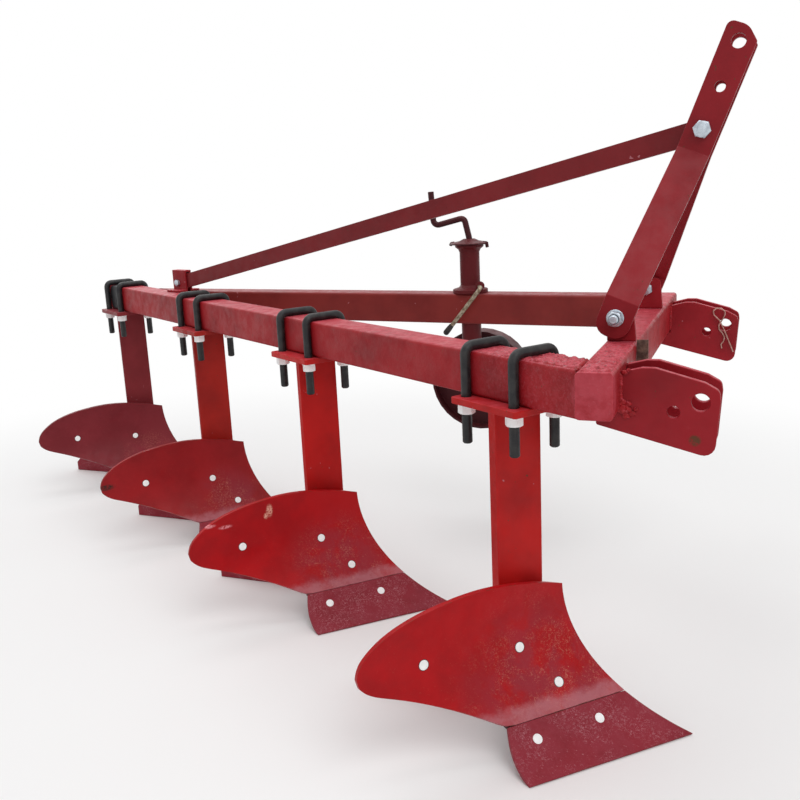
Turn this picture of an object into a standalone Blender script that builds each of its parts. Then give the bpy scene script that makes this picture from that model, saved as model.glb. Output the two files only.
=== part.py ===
"""Four-furrow mounted mouldboard plough, standing on its shares and landsides.

X points forward to the tractor, Y to the left, Z up; the ground is Z = 0.
The origin is on the ground, below the middle of the plough's outer box.
"""
import math

import bmesh
import bpy
from mathutils import Matrix, Vector

# Fits and finish
GAP = 0.0003
WELD_GAP = 0.0005
ROUND_STEPS = 5
ROD_SIDES = 12
TURN_SIDES = 32
SMOOTH_ANGLE = math.radians(35)

# Hitch: lower link pins, seen from the origin
PIN_X = 1.1114
HITCH_Y = -0.0881
HITCH_HALF = 0.389
PIN_DROP = 0.0570
PIN_BORE = 0.0285
SMALL_BORE = 0.0200
SMALL_BACK = 0.0400
SMALL_DROP = 0.0165
LINK_PLATE = 0.012
LINK_GAP = 0.054
LINK_PROFILE = (
    # forward of the pin, above the pin, corner radius
    (-0.1200, 0.0440, 0.000),
    (-0.0880, 0.0520, 0.010),
    (-0.0680, 0.0520, 0.012),
    (0.0060, 0.0310, 0.010),
    (0.0270, 0.0190, 0.012),
    (0.0290, 0.0050, 0.012),
    (0.0223, -0.0887, 0.018),
    (-0.1585, -0.0420, 0.004),
    (-0.1585, -0.0185, 0.000),
    (-0.1200, -0.0185, 0.000),
)

# Beams
BEAM_TOP = 0.685
BEAM_HIGH = 0.080
BEAM_WIDE = 0.074
BEAM_WALL = 0.006
BEAM_ROUND = 0.007
CROSS_WIDE = 0.058
CROSS_HIGH = 0.075
CROSS_HALF = 0.500
CROSS_FRONT = PIN_X - 0.1205
CROSS_BACK = CROSS_FRONT - CROSS_WIDE
CROSS_CAP = 0.006
MAIN_ANGLE = math.radians(33.27)
MAIN_TAIL = 2.060
LEFT_SKEW = math.radians(5.4)

# Bodies: the datum is on the main beam's right top edge, above the front body
BODY_BACK = 0.3555
BODY_RIGHT = 0.366
BODIES = (
    # name, distance back along the main beam
    ("front", 0.000),
    ("second", 0.688),
    ("third", 1.310),
    ("rear", 1.963),
)

# Standard and its clamp plate
HEAD_LONG = 0.170
HEAD_WIDE = 0.138
HEAD_THICK = 0.012
HEAD_AHEAD = 0.005
HEAD_ROUND = 0.006
BOLT_AHEAD = 0.016
BOLT_PITCH = 0.1246
BOLT_ROD = 0.018
BOLT_HOLE = 0.0200
BOLT_STUD = 0.086
BOLT_BEND = 0.016
STANDARD_WIDE = 0.088
STANDARD_THICK = 0.027
STANDARD_YAW = math.radians(42)
STANDARD_AHEAD = 0.027
STANDARD_FOOT = 0.116

# Soil-turning surface: level straight lines carried up an arc, turning as they rise
TIP_AHEAD = 0.361
LAND_LEFT = 0.035
EDGE_ANGLE = math.radians(44.5)
TURN_PER_METRE = math.radians(26)
EDGE_RAKE = math.radians(26)
GUIDE_RADIUS = 0.300
SHEET = 0.008
SEAM_HIGH = 0.067

SHIN_FADE = 0.040

MOULDBOARD = (
    # distance from the shin along the level line, lower edge, upper edge
    (0.0000, 0.0673, 0.2615),
    (0.0400, 0.0673, 0.2730),
    (0.0820, 0.0673, 0.2820),
    (0.1200, 0.0673, 0.2885),
    (0.1520, 0.0673, 0.2925),
    (0.1900, 0.0673, 0.2945),
    (0.2245, 0.0673, 0.2930),
    (0.2440, 0.0673, 0.2910),
    (0.2600, 0.0820, 0.2890),
    (0.2900, 0.1050, 0.2850),
    (0.3186, 0.1220, 0.2780),
    (0.3450, 0.1370, 0.2695),
    (0.3717, 0.1500, 0.2570),
    (0.3920, 0.1585, 0.2430),
    (0.4080, 0.1660, 0.2300),
    (0.4190, 0.1740, 0.2170),
    (0.4260, 0.1850, 0.2010),
)
BOARD_ROWS = 14

SHARE_LONG = 0.3374
SHARE_TOP = 0.2440
SHARE_COLUMNS = 9
SHARE_RISES = (0.003, 0.008, 0.018, 0.032, 0.048, 0.0667)

FROG_THICK = 0.010
FROG = (
    # distance from the shin, lower edge, upper edge
    (0.036, 0.030, 0.186),
    (0.055, 0.030, 0.190),
    (0.072, 0.030, 0.200),
    (0.084, 0.030, 0.204),
    (0.110, 0.030, 0.204),
    (0.130, 0.030, 0.200),
    (0.160, 0.030, 0.165),
    (0.200, 0.030, 0.115),
    (0.240, 0.032, 0.070),
)
FROG_GAP = 0.0012
FROG_ROWS = 10
FROG_SIDE_END = 0.000
FROG_SIDE_TOP = 0.112
RIB_FOOT = 0.116
RIB_FULL = 0.150
RIB_RIGHT = 0.072
RIB_LEFT = 0.084

LAND_THICK = 0.012
LAND_HIGH = 0.090
LAND_BACK = 0.640
LAND_TAIL = 0.060

# Mast of two folded flat bars, measured along its lean from the bolt that takes the brace
MAST_LEAN = math.radians(21.3)
MAST_WIDE = 0.060
MAST_THICK = 0.012
MAST_BOLT_BACK = 0.0350
MAST_BOLT_UP = 0.361
MAST_BORE = 0.0170
MAST_HALF = 0.035
HEAD_FOLD_BELOW = 0.040
TOP_BORE = 0.0260
TOP_ABOVE = 0.158
SPARE_BORE = 0.0200
SPARE_ABOVE = 0.078
CROWN_REAR = 0.187
CROWN_FRONT = 0.166
CROWN_PEAK = 0.006
CROWN_ROUND = 0.012
CROWN_BEND = 0.030
CROWN_CORNER = 0.004
FOOT_HALF = 0.231
FOOT_BELOW = 0.3415
FOOT_FOLD_ABOVE = 0.034
FOOT_END = 0.036
FOOT_ROUND = 0.025
LUG_REAR = 0.016
LUG_FRONT = 0.035
LUG_TOP = 0.023
LUG_TOP_FRONT = 0.029
LUG_THICK = 0.010
LUG_ROUND = 0.008

# Brace and the bracket at its rear end
BRACE_HIGH = 0.042
BRACE_THICK = 0.010
BRACE_END = 0.020
BRACE_ROUND = 0.010
BRACKET_BACK = 1.617
BRACKET_LEFT_SHARE = 0.627
BRACKET_BOLT_UP = 0.0262
BRACKET_HIGH = 0.066
BRACKET_WIDE = 0.075
BRACKET_LONG = 0.066
BRACKET_AHEAD = 0.040
BRACKET_PLATE = 0.006

# Depth wheel column on the left beam, measured from the hitch
COLUMN_BACK = 0.655
SLEEVE_OUT = 0.0265
SLEEVE_IN = 0.0210
SLEEVE_DOWN = 0.130
SLEEVE = (
    # radius, above the beam
    (SLEEVE_OUT, GAP),
    (0.0470, GAP),
    (0.0470, 0.0100),
    (0.0310, 0.0150),
    (SLEEVE_OUT, 0.0210),
    (SLEEVE_OUT, 0.1080),
    (0.0300, 0.1160),
    (0.0380, 0.1220),
    (0.0380, 0.1280),
)
CAP = (
    # radius, above the sleeve
    (0.0500, GAP),
    (0.0515, 0.0030),
    (0.0480, 0.0055),
    (0.0260, 0.0095),
    (0.0150, 0.0150),
)
SPINDLE_RADIUS = 0.0080
CRANK = (
    # forward of the column, above the beam, bend radius
    (0.000, -0.100, 0.000),
    (0.000, 0.146, 0.012),
    (-0.012, 0.198, 0.012),
    (-0.098, 0.178, 0.014),
    (-0.103, 0.269, 0.000),
)
LOCK_RADIUS = 0.0055
LOCK = (
    # forward of the column, left of it, above the beam, bend radius
    (0.030, -0.024, 0.0186, 0.000),
    (0.046, -0.056, 0.0186, 0.008),
    (-0.055, -0.060, -0.1040, 0.000),
)

# Post, stub axle and wheel
POST_RADIUS = 0.0200
POST_TOP = 0.060
POST_BORE = 0.0095
POST_BORE_END = -0.175
AXLE_UP = 0.431
AXLE_RADIUS = 0.0150
BOSS_RADIUS = 0.026
COLLAR_RADIUS = 0.024
COLLAR = 0.010
WHEEL_SIDE = 0.085
WHEEL_RADIUS = 0.140
WHEEL_WIDE = 0.060
HUB_RADIUS = 0.032
HUB_PLAY = 0.001
RIM = 0.007
WEB = 0.006

RED = (0.42, 0.018, 0.022, 1.0)
DARK_RED = (0.20, 0.012, 0.016, 1.0)
SOIL_RED = (0.33, 0.025, 0.040, 1.0)
BLACK = (0.015, 0.015, 0.016, 1.0)
STEEL = (0.45, 0.42, 0.38, 1.0)


def material(name, colour, roughness, metallic):
    """Returns a Principled material with these plain values."""
    made = bpy.data.materials.new(name)
    made.use_nodes = True
    shader = made.node_tree.nodes["Principled BSDF"]
    shader.inputs["Base Color"].default_value = colour
    shader.inputs["Roughness"].default_value = roughness
    shader.inputs["Metallic"].default_value = metallic
    made.diffuse_color = colour
    return made


def frame(origin, along, up):
    """Returns the matrix of a right-handed frame with X along and Y up."""
    x = Vector(along).normalized()
    z = x.cross(Vector(up)).normalized()
    y = z.cross(x)
    turn = Matrix((x, y, z)).transposed().to_4x4()
    return Matrix.Translation(Vector(origin)) @ turn


def finish(name, mesh_data, place, paint):
    """Turns a bmesh into the named object, at its place and in its paint."""
    bmesh.ops.recalc_face_normals(mesh_data, faces=mesh_data.faces)
    mesh = bpy.data.meshes.new(name)
    mesh_data.to_mesh(mesh)
    mesh_data.free()
    mesh.shade_smooth()
    mesh.set_sharp_from_angle(angle=SMOOTH_ANGLE)
    mesh.materials.append(paint)
    made = bpy.data.objects.new(name, mesh)
    made.matrix_world = place
    bpy.context.collection.objects.link(made)
    return made


def ring(mesh_data, points):
    """Adds a closed ring of vertices."""
    return [mesh_data.verts.new(point) for point in points]


def fill(mesh_data, rings):
    """Fills a flat outline, and leaves the rings inside it open."""
    edges = []
    for verts in rings:
        for first, second in zip(verts, verts[1:] + verts[:1]):
            edge = mesh_data.edges.get((first, second))
            if edge is None:
                edge = mesh_data.edges.new((first, second))
            edges.append(edge)
    bmesh.ops.triangle_fill(mesh_data, edges=edges, use_beauty=True)


def wall(mesh_data, first, second, closed=True):
    """Joins two rings, or two open rows, with a band of faces."""
    count = len(first)
    steps = count if closed else count - 1
    for index in range(steps):
        after = (index + 1) % count
        mesh_data.faces.new((first[index], first[after], second[after], second[index]))


def arc(centre, radius, start, end, steps):
    """Returns points along a flat arc, both ends included."""
    points = []
    for index in range(steps + 1):
        angle = start + (end - start) * index / steps
        points.append((centre[0] + radius * math.cos(angle), centre[1] + radius * math.sin(angle)))
    return points


def circle(centre, radius, steps=TURN_SIDES // 2):
    """Returns the points of a flat circle."""
    return arc(centre, radius, 0, 2 * math.pi, steps)[:-1]


def eased(corners, radii, steps=ROUND_STEPS):
    """Rounds the corners of an outline or of a path; a radius of zero keeps the corner."""
    count = len(corners)
    points = []
    for index, radius in enumerate(radii):
        corner = Vector(corners[index])
        if radius == 0:
            points.append(corner)
            continue
        before = (Vector(corners[index - 1]) - corner).normalized()
        after = (Vector(corners[(index + 1) % count]) - corner).normalized()
        half = before.angle(after) / 2
        reach = radius / math.tan(half)
        middle = corner + (before + after).normalized() * (radius / math.sin(half))
        start = corner + before * reach - middle
        end = corner + after * reach - middle
        for step in range(steps + 1):
            points.append(middle + start.slerp(end, step / steps) * radius)
    return points


def prism(name, outlines, low, high, place, paint):
    """Builds a flat plate or bar: the first outline is its edge, the others are holes."""
    mesh_data = bmesh.new()
    bottoms = [ring(mesh_data, [(x, y, low) for x, y in points]) for points in outlines]
    tops = [ring(mesh_data, [(x, y, high) for x, y in points]) for points in outlines]
    for rings in (bottoms, tops):
        fill(mesh_data, rings)
    for bottom, top in zip(bottoms, tops):
        wall(mesh_data, bottom, top)
    return finish(name, mesh_data, place, paint)


def turned(name, profile, place, paint, sides=TURN_SIDES):
    """Turns a profile of (radius, height) about the frame's Z; it closes at the axis or on itself."""
    mesh_data = bmesh.new()
    rings = []
    for radius, height in profile:
        if radius == 0:
            rings.append([mesh_data.verts.new((0, 0, height))])
            continue
        rings.append(ring(mesh_data, [(x, y, height) for x, y in circle((0, 0), radius, sides)]))
    pairs = list(zip(rings, rings[1:]))
    if profile[0][0] > 0:
        pairs.append((rings[-1], rings[0]))
    for first, second in pairs:
        if len(first) == 1 or len(second) == 1:
            tip, edge = (first, second) if len(first) == 1 else (second, first)
            for one, other in zip(edge, edge[1:] + edge[:1]):
                mesh_data.faces.new((tip[0], one, other))
        else:
            wall(mesh_data, first, second)
    return finish(name, mesh_data, place, paint)


def rod(name, path, radius, place, paint, sides=ROD_SIDES):
    """Sweeps a round bar along a path of points."""
    mesh_data = bmesh.new()
    points = [Vector(point) for point in path]
    tangent = (points[1] - points[0]).normalized()
    side = tangent.orthogonal().normalized()
    rings = []
    for index, point in enumerate(points):
        before = points[max(index - 1, 0)]
        after = points[min(index + 1, len(points) - 1)]
        direction = (after - before).normalized()
        side = tangent.rotation_difference(direction) @ side
        tangent = direction
        other = tangent.cross(side)
        outline = circle((0, 0), radius, sides)
        rings.append(ring(mesh_data, [point + side * x + other * y for x, y in outline]))
    for first, second in zip(rings, rings[1:]):
        wall(mesh_data, first, second)
    for end in (rings[0], rings[-1]):
        mesh_data.faces.new(end)
    return finish(name, mesh_data, place, paint)


def tube_outline(wide, high, inset, radius):
    """Returns a rounded box outline hanging below the frame's top right edge."""
    corners = ((inset, -inset), (inset, inset - high), (wide - inset, inset - high), (wide - inset, -inset))
    return eased(corners, (radius,) * len(corners))


def box_tube(name, wide, high, start, end, place, paint, start_cap=0):
    """Builds a square tube; start and end give where each edge is cut, from its side distance."""
    mesh_data = bmesh.new()
    outer = tube_outline(wide, high, 0, BEAM_ROUND)
    inner = tube_outline(wide, high, BEAM_WALL, BEAM_ROUND - BEAM_WALL / 2)
    first = ring(mesh_data, [(start(y), y, z) for y, z in outer])
    last = ring(mesh_data, [(end(y), y, z) for y, z in outer])
    inside_first = ring(mesh_data, [(start(y) + start_cap, y, z) for y, z in inner])
    inside_last = ring(mesh_data, [(end(y), y, z) for y, z in inner])
    wall(mesh_data, first, last)
    wall(mesh_data, inside_first, inside_last)
    wall(mesh_data, last, inside_last)
    if start_cap:
        fill(mesh_data, [first])
        fill(mesh_data, [inside_first])
    else:
        wall(mesh_data, first, inside_first)
    return finish(name, mesh_data, place, paint)


def beam_frame(x, y, angle):
    """Returns a beam's frame: X forward along it, Y across to the left, at its top right edge."""
    return Matrix.Translation((x, y, BEAM_TOP)) @ Matrix.Rotation(-angle, 4, "Z")


def main_frame(station):
    """Returns the main beam's frame at a distance back from the front body."""
    back = Vector((-math.cos(MAIN_ANGLE), math.sin(MAIN_ANGLE))) * station
    return beam_frame(PIN_X - BODY_BACK + back.x, HITCH_Y - BODY_RIGHT + back.y, MAIN_ANGLE)


def body_frame(station):
    """Returns a body's frame, on the ground and square to the furrow."""
    return Matrix.Translation(main_frame(station).translation - Vector((0, 0, BEAM_TOP)))


def cross_beam(paint):
    """Builds the front cross beam, closed at its right end."""
    place = frame((CROSS_FRONT, HITCH_Y - CROSS_HALF, BEAM_TOP), (0, 1, 0), (-1, 0, 0))
    box_tube("cross_beam", CROSS_WIDE, CROSS_HIGH, lambda y: 0, lambda y: 2 * CROSS_HALF,
             place, paint, start_cap=CROSS_CAP)


def main_beam(paint):
    """Builds the slanting beam that carries the bodies, cut to fit behind the cross beam."""
    place = main_frame(0)
    reach = CROSS_BACK - GAP - place.translation.x

    def front_cut(y):
        return (reach - y * math.sin(MAIN_ANGLE)) / math.cos(MAIN_ANGLE)

    box_tube("main_beam", BEAM_WIDE, BEAM_HIGH, lambda y: -MAIN_TAIL, front_cut, place, paint)


def left_frame():
    """Returns the frame of the left beam, flush with the cross beam's left end."""
    side = CROSS_HALF - BEAM_WIDE / math.cos(LEFT_SKEW)
    return beam_frame(CROSS_BACK, HITCH_Y + side, LEFT_SKEW)


def middle_at(place, x):
    """Returns the point on the middle of a beam's top where it passes this forward distance."""
    along = place.to_3x3() @ Vector((1, 0, 0))
    start = place @ Vector((0, BEAM_WIDE / 2, 0))
    return start + along * ((x - start.x) / along.x)


def column_middle():
    """Returns the middle of the depth column, on top of the left beam."""
    return middle_at(left_frame(), PIN_X - COLUMN_BACK)


def left_beam(paint):
    """Builds the left beam, cut to fit the cross beam and the side of the main beam."""
    place = left_frame()
    main = main_frame(0)
    leftward = main.to_3x3() @ Vector((0, 1, 0))
    along = place.to_3x3() @ Vector((1, 0, 0))
    across = place.to_3x3() @ Vector((0, 1, 0))
    offset = (place.translation - main.translation).dot(leftward)

    def front_cut(y):
        return -(GAP + y * math.sin(LEFT_SKEW)) / math.cos(LEFT_SKEW)

    def rear_cut(y):
        return (BEAM_WIDE + GAP - offset - y * across.dot(leftward)) / along.dot(leftward)

    beam = box_tube("left_beam", BEAM_WIDE, BEAM_HIGH, rear_cut, front_cut, place, paint)
    wide = SLEEVE_OUT + GAP
    outline = ((0, -SLEEVE_DOWN), (wide, -SLEEVE_DOWN), (wide, SLEEVE_DOWN), (0, SLEEVE_DOWN))
    bore = turned("left_beam_bore", outline, Matrix.Translation(column_middle()), paint)
    bore.hide_render = True
    bore.display_type = "WIRE"
    cut = beam.modifiers.new("bore", "BOOLEAN")
    cut.operation = "DIFFERENCE"
    cut.solver = "EXACT"
    cut.object = bore


def link_plates(paint):
    """Builds the four plates that take the tractor's lower links."""
    corners = [(x, z) for x, z, radius in LINK_PROFILE]
    radii = [radius for x, z, radius in LINK_PROFILE]
    outline = eased(corners, radii)
    holes = [circle((0, 0), PIN_BORE / 2, TURN_SIDES), circle((-SMALL_BACK, -SMALL_DROP), SMALL_BORE / 2)]
    pin_height = BEAM_TOP - PIN_DROP
    step = LINK_GAP / 2 + LINK_PLATE / 2
    for side, place_y in (("right", -HITCH_HALF), ("left", HITCH_HALF)):
        for which, shift in (("right", -step), ("left", step)):
            place = frame((PIN_X, HITCH_Y + place_y + shift, pin_height), (1, 0, 0), (0, 0, 1))
            prism(f"{side}_link_plate_{which}", [outline] + holes, -LINK_PLATE / 2, LINK_PLATE / 2,
                  place, paint)


def mast_origin():
    """Returns the middle of the bolt that joins mast and brace."""
    return Vector((PIN_X - MAST_BOLT_BACK, HITCH_Y, BEAM_TOP + MAST_BOLT_UP))


def mast_axes():
    """Returns the mast's directions: square to its lean and forward, and up along it."""
    forward = Vector((math.cos(MAST_LEAN), 0, -math.sin(MAST_LEAN)))
    up = Vector((math.sin(MAST_LEAN), 0, math.cos(MAST_LEAN)))
    return forward, up


def mast_bar(name, side, paint):
    """Builds one flat bar of the mast, folded out to its leg and back to its foot."""
    forward, up = mast_axes()
    half = MAST_WIDE / 2
    foot_fold = FOOT_FOLD_ABOVE - FOOT_BELOW
    foot_end = -FOOT_BELOW - FOOT_END
    splay = math.atan2(FOOT_HALF - MAST_HALF, -HEAD_FOLD_BELOW - foot_fold)
    mesh_data = bmesh.new()
    faces = []
    for depth in (0, MAST_THICK):
        drop = depth * math.tan(splay / 2)
        head = eased(((half, -HEAD_FOLD_BELOW - drop), (half, CROWN_FRONT), (CROWN_PEAK, CROWN_REAR),
                      (-half, CROWN_REAR), (-half, -HEAD_FOLD_BELOW - drop)),
                     (0, CROWN_CORNER, CROWN_BEND, CROWN_ROUND, 0))
        foot_top = foot_fold - drop
        foot = eased(((-half, foot_top), (-half, foot_end), (half, foot_end), (half, foot_top)),
                     (0, FOOT_ROUND, FOOT_ROUND, 0))
        head_bores = [circle((0, 0), MAST_BORE / 2), circle((0, SPARE_ABOVE), SPARE_BORE / 2),
                      circle((0, TOP_ABOVE), TOP_BORE / 2, TURN_SIDES)]
        foot_bores = [circle((0, -FOOT_BELOW), MAST_BORE / 2)]
        rings = []
        for out, outlines in ((MAST_HALF, [head] + head_bores), (FOOT_HALF, [foot] + foot_bores)):
            outward = Vector((0, side * (out - depth), 0))
            group = []
            for points in outlines:
                group.append(ring(mesh_data, [forward * x + up * y + outward for x, y in points]))
            fill(mesh_data, group)
            rings.append(group)
        (head_ring, *head_holes), (foot_ring, *foot_holes) = rings
        mesh_data.faces.new((head_ring[0], head_ring[-1], foot_ring[0], foot_ring[-1]))
        faces.append([head_ring + foot_ring] + head_holes + foot_holes)
    for outer, inner in zip(*faces):
        wall(mesh_data, outer, inner)
    return finish(name, mesh_data, Matrix.Translation(mast_origin()), paint)


def mast_foot(name, side, paint):
    """Builds the lug on the cross beam that one mast leg is bolted to."""
    up = mast_axes()[1]
    bolt = mast_origin() - up * FOOT_BELOW
    bolt.y += side * (FOOT_HALF - MAST_THICK - GAP - LUG_THICK / 2)
    low = BEAM_TOP + GAP - bolt.z
    corners = ((-LUG_REAR, low), (LUG_FRONT, low), (LUG_TOP_FRONT, LUG_TOP), (-LUG_REAR, LUG_TOP))
    outline = eased(corners, (0, 0, LUG_ROUND, LUG_ROUND))
    prism(name, [outline, circle((0, 0), MAST_BORE / 2)], -LUG_THICK / 2, LUG_THICK / 2,
          frame(bolt, (1, 0, 0), (0, 0, 1)), paint)


def brace_ends():
    """Returns the brace's two bolt middles, front and rear."""
    x = PIN_X - BRACKET_BACK
    rear = middle_at(main_frame(0), x).lerp(middle_at(left_frame(), x), BRACKET_LEFT_SHARE)
    rear.z += BRACKET_BOLT_UP
    return mast_origin(), rear


def brace(paint):
    """Builds the flat bar from the mast down to where the two beams meet."""
    front, rear = brace_ends()
    length = (front - rear).length
    half = BRACE_HIGH / 2
    far = length + BRACE_END
    corners = ((-BRACE_END, -half), (far, -half), (far, half), (-BRACE_END, half))
    outline = eased(corners, (BRACE_ROUND,) * len(corners))
    holes = [circle((0, 0), MAST_BORE / 2), circle((length, 0), MAST_BORE / 2)]
    prism("mast_brace", [outline] + holes, -BRACE_THICK / 2, BRACE_THICK / 2,
          frame(rear, front - rear, (0, 0, 1)), paint)


def brace_bracket(paint):
    """Builds the folded bracket that holds the brace's rear end."""
    front, rear = brace_ends()
    heading = front - rear
    heading.z = 0
    inner = BRACE_THICK / 2 + WELD_GAP
    outer = inner + BRACKET_PLATE
    half = BRACKET_WIDE / 2
    foot = GAP + BRACKET_PLATE
    roof = BRACKET_HIGH - BRACKET_PLATE
    corners = ((-half, GAP), (-inner, GAP), (-inner, roof), (inner, roof), (inner, GAP), (half, GAP),
               (half, foot), (outer, foot), (outer, BRACKET_HIGH), (-outer, BRACKET_HIGH), (-outer, foot),
               (-half, foot))
    across = Vector((0, 0, 1)).cross(heading)
    ground = Vector((rear.x, rear.y, BEAM_TOP))
    prism("brace_bracket", [corners], -BRACKET_LONG + BRACKET_AHEAD, BRACKET_AHEAD,
          frame(ground, across, (0, 0, 1)), paint)


def standard(name, station, paint):
    """Builds a body's standard with the clamp plate welded on its head."""
    place = main_frame(station) @ Matrix.Translation((BOLT_AHEAD, BEAM_WIDE / 2, -BEAM_HIGH))
    rear = HEAD_AHEAD - HEAD_LONG / 2
    front = HEAD_AHEAD + HEAD_LONG / 2
    half = HEAD_WIDE / 2
    corners = ((rear, -half), (front, -half), (front, half), (rear, half))
    plate = eased(corners, (HEAD_ROUND,) * len(corners))
    holes = []
    for x in (-BOLT_PITCH / 2, BOLT_PITCH / 2):
        for y in (-bolt_half(), bolt_half()):
            holes.append(circle((x, y), BOLT_HOLE / 2, ROD_SIDES))
    yaw = STANDARD_YAW + MAIN_ANGLE
    shift = Vector((STANDARD_AHEAD - BOLT_AHEAD, 0))
    stem = []
    for x, y in ((-STANDARD_WIDE / 2, -STANDARD_THICK / 2), (STANDARD_WIDE / 2, -STANDARD_THICK / 2),
                 (STANDARD_WIDE / 2, STANDARD_THICK / 2), (-STANDARD_WIDE / 2, STANDARD_THICK / 2)):
        stem.append(shift + Vector((x * math.cos(yaw) - y * math.sin(yaw),
                                    x * math.sin(yaw) + y * math.cos(yaw))))
    top = -GAP
    under = top - HEAD_THICK
    foot = STANDARD_FOOT - BEAM_TOP + BEAM_HIGH
    mesh_data = bmesh.new()
    top_rings = [ring(mesh_data, [(x, y, top) for x, y in points]) for points in [plate] + holes]
    under_rings = [ring(mesh_data, [(x, y, under) for x, y in points]) for points in [plate] + holes]
    root = ring(mesh_data, [(x, y, under) for x, y in stem])
    end = ring(mesh_data, [(x, y, foot) for x, y in stem])
    fill(mesh_data, top_rings)
    fill(mesh_data, under_rings + [root])
    for upper, lower in zip(top_rings, under_rings):
        wall(mesh_data, upper, lower)
    wall(mesh_data, root, end)
    fill(mesh_data, [end])
    return finish(name, mesh_data, place, paint)


def bolt_half():
    """Returns how far a clamp bolt's legs stand from the beam's middle."""
    return BEAM_WIDE / 2 + BOLT_ROD / 2 + GAP


def clamp_bolt(name, station, ahead, paint):
    """Builds one U-bolt over the beam."""
    place = main_frame(station) @ Matrix.Translation((BOLT_AHEAD + ahead, BEAM_WIDE / 2, 0))
    side = bolt_half()
    top = BOLT_ROD / 2 + GAP
    end = -BEAM_HIGH - BOLT_STUD
    corners = ((0, -side, end), (0, -side, top), (0, side, top), (0, side, end))
    path = eased(corners, (0, BOLT_BEND, BOLT_BEND, 0))
    rod(name, path, BOLT_ROD / 2, place, paint)


def surface(along, rise):
    """Returns a point of the soil-turning surface, and the unit normal towards the soil."""
    slope = math.acos(math.cos(EDGE_RAKE) - rise / GUIDE_RADIUS)
    setback = GUIDE_RADIUS * (math.sin(slope) - math.sin(EDGE_RAKE))
    angle = EDGE_ANGLE + TURN_PER_METRE * rise
    level = Vector((-math.cos(angle), -math.sin(angle), 0))
    shin = Vector((TIP_AHEAD - setback / math.sin(EDGE_ANGLE), LAND_LEFT, rise))
    climb = Vector((-1 / (math.tan(slope) * math.sin(EDGE_ANGLE)), 0, 1))
    climb += Vector((math.sin(angle), -math.cos(angle), 0)) * along * TURN_PER_METRE
    return shin + level * along, climb.cross(level).normalized(), level


def slid(point, level, side):
    """Slides a point along its level line to a plane at this distance to the left."""
    return point + level * ((side - point.y) / level.y)


def behind(along, rise, depth):
    """Returns a point behind the surface; near the shin it slides back to the landside's plane."""
    point, normal, level = surface(along, rise)
    moved = point - normal * depth
    fade = max(0, 1 - along / SHIN_FADE)
    return moved.lerp(slid(moved, level, point.y), fade)


def shell(name, rows, station, paint):
    """Closes rows of (front, back) points into one curved plate."""
    mesh_data = bmesh.new()
    fronts = [ring(mesh_data, [front for front, back in row]) for row in rows]
    backs = [ring(mesh_data, [back for front, back in row]) for row in rows]
    for grid in (fronts, backs):
        for first, second in zip(grid, grid[1:]):
            wall(mesh_data, first, second, closed=False)
    for edge in (0, -1):
        wall(mesh_data, fronts[edge], backs[edge], closed=False)
        wall(mesh_data, [row[edge] for row in fronts], [row[edge] for row in backs], closed=False)
    return finish(name, mesh_data, body_frame(station), paint)


def mouldboard(name, station, paint):
    """Builds the curved board that turns the furrow slice."""
    rows = []
    for along, low, high in MOULDBOARD:
        row = []
        for step in range(BOARD_ROWS + 1):
            rise = low + (high - low) * step / BOARD_ROWS
            row.append((surface(along, rise)[0], behind(along, rise, SHEET)))
        rows.append(row)
    return shell(name, rows, station, paint)


def share_blade(name, station, paint):
    """Builds the share, sharpened along its cutting edge and flat on the ground."""
    rows = []
    for rise in SHARE_RISES:
        length = SHARE_LONG + (SHARE_TOP - SHARE_LONG) * rise / SEAM_HIGH
        row = []
        for step in range(SHARE_COLUMNS + 1):
            along = length * step / SHARE_COLUMNS
            point, normal = surface(along, rise)[:2]
            depth = min(SHEET, rise / normal.z)
            row.append((point, behind(along, rise, depth)))
        rows.append(row)
    return shell(name, rows, station, paint)


def frog_columns():
    """Returns the frog's columns: along, low, high, side plane, and what it reaches back to."""
    flange = LAND_LEFT - LAND_THICK - WELD_GAP
    along, low, high = FROG[0]
    columns = [(along, low, high, flange, "side"), (along, low, high, flange - FROG_THICK, "side"),
               (along, low, high, flange - FROG_THICK - GAP, "none")]
    for along, low, high in FROG[1:]:
        before = "rib" if along == RIB_LEFT else "none"
        after = "rib" if along == RIB_RIGHT else "none"
        columns.append((along, low, high, None, before))
        if before != after:
            columns.append((along + GAP, low, high, None, after))
    return columns


def frog(name, station, paint):
    """Builds the bracket behind share and mouldboard: a curved plate, a side and a rib."""
    middle = main_frame(0) @ Vector((STANDARD_AHEAD, BEAM_WIDE / 2, 0)) - body_frame(0).translation
    back = Vector((-math.sin(STANDARD_YAW), math.cos(STANDARD_YAW), 0))
    face = middle - back * (STANDARD_THICK / 2 + WELD_GAP)
    rows = []
    for along, low, high, plane, reach in frog_columns():
        row = []
        for step in range(FROG_ROWS + 1):
            rise = low + (high - low) * step / FROG_ROWS
            front = behind(along, rise, SHEET + FROG_GAP)
            rear = behind(along, rise, SHEET + FROG_GAP + FROG_THICK)
            if plane is not None:
                level = surface(along, rise)[2]
                front = slid(front, level, plane)
                rear = slid(rear, level, plane)
            if reach == "side" and rise < FROG_SIDE_TOP:
                rear.x = FROG_SIDE_END
            if reach == "rib":
                share = (rise - RIB_FOOT) / (RIB_FULL - RIB_FOOT)
                rear += back * (face - rear).dot(back) * min(1, max(0, share))
            row.append((front, rear))
        rows.append(row)
    return shell(name, rows, station, paint)


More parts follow.
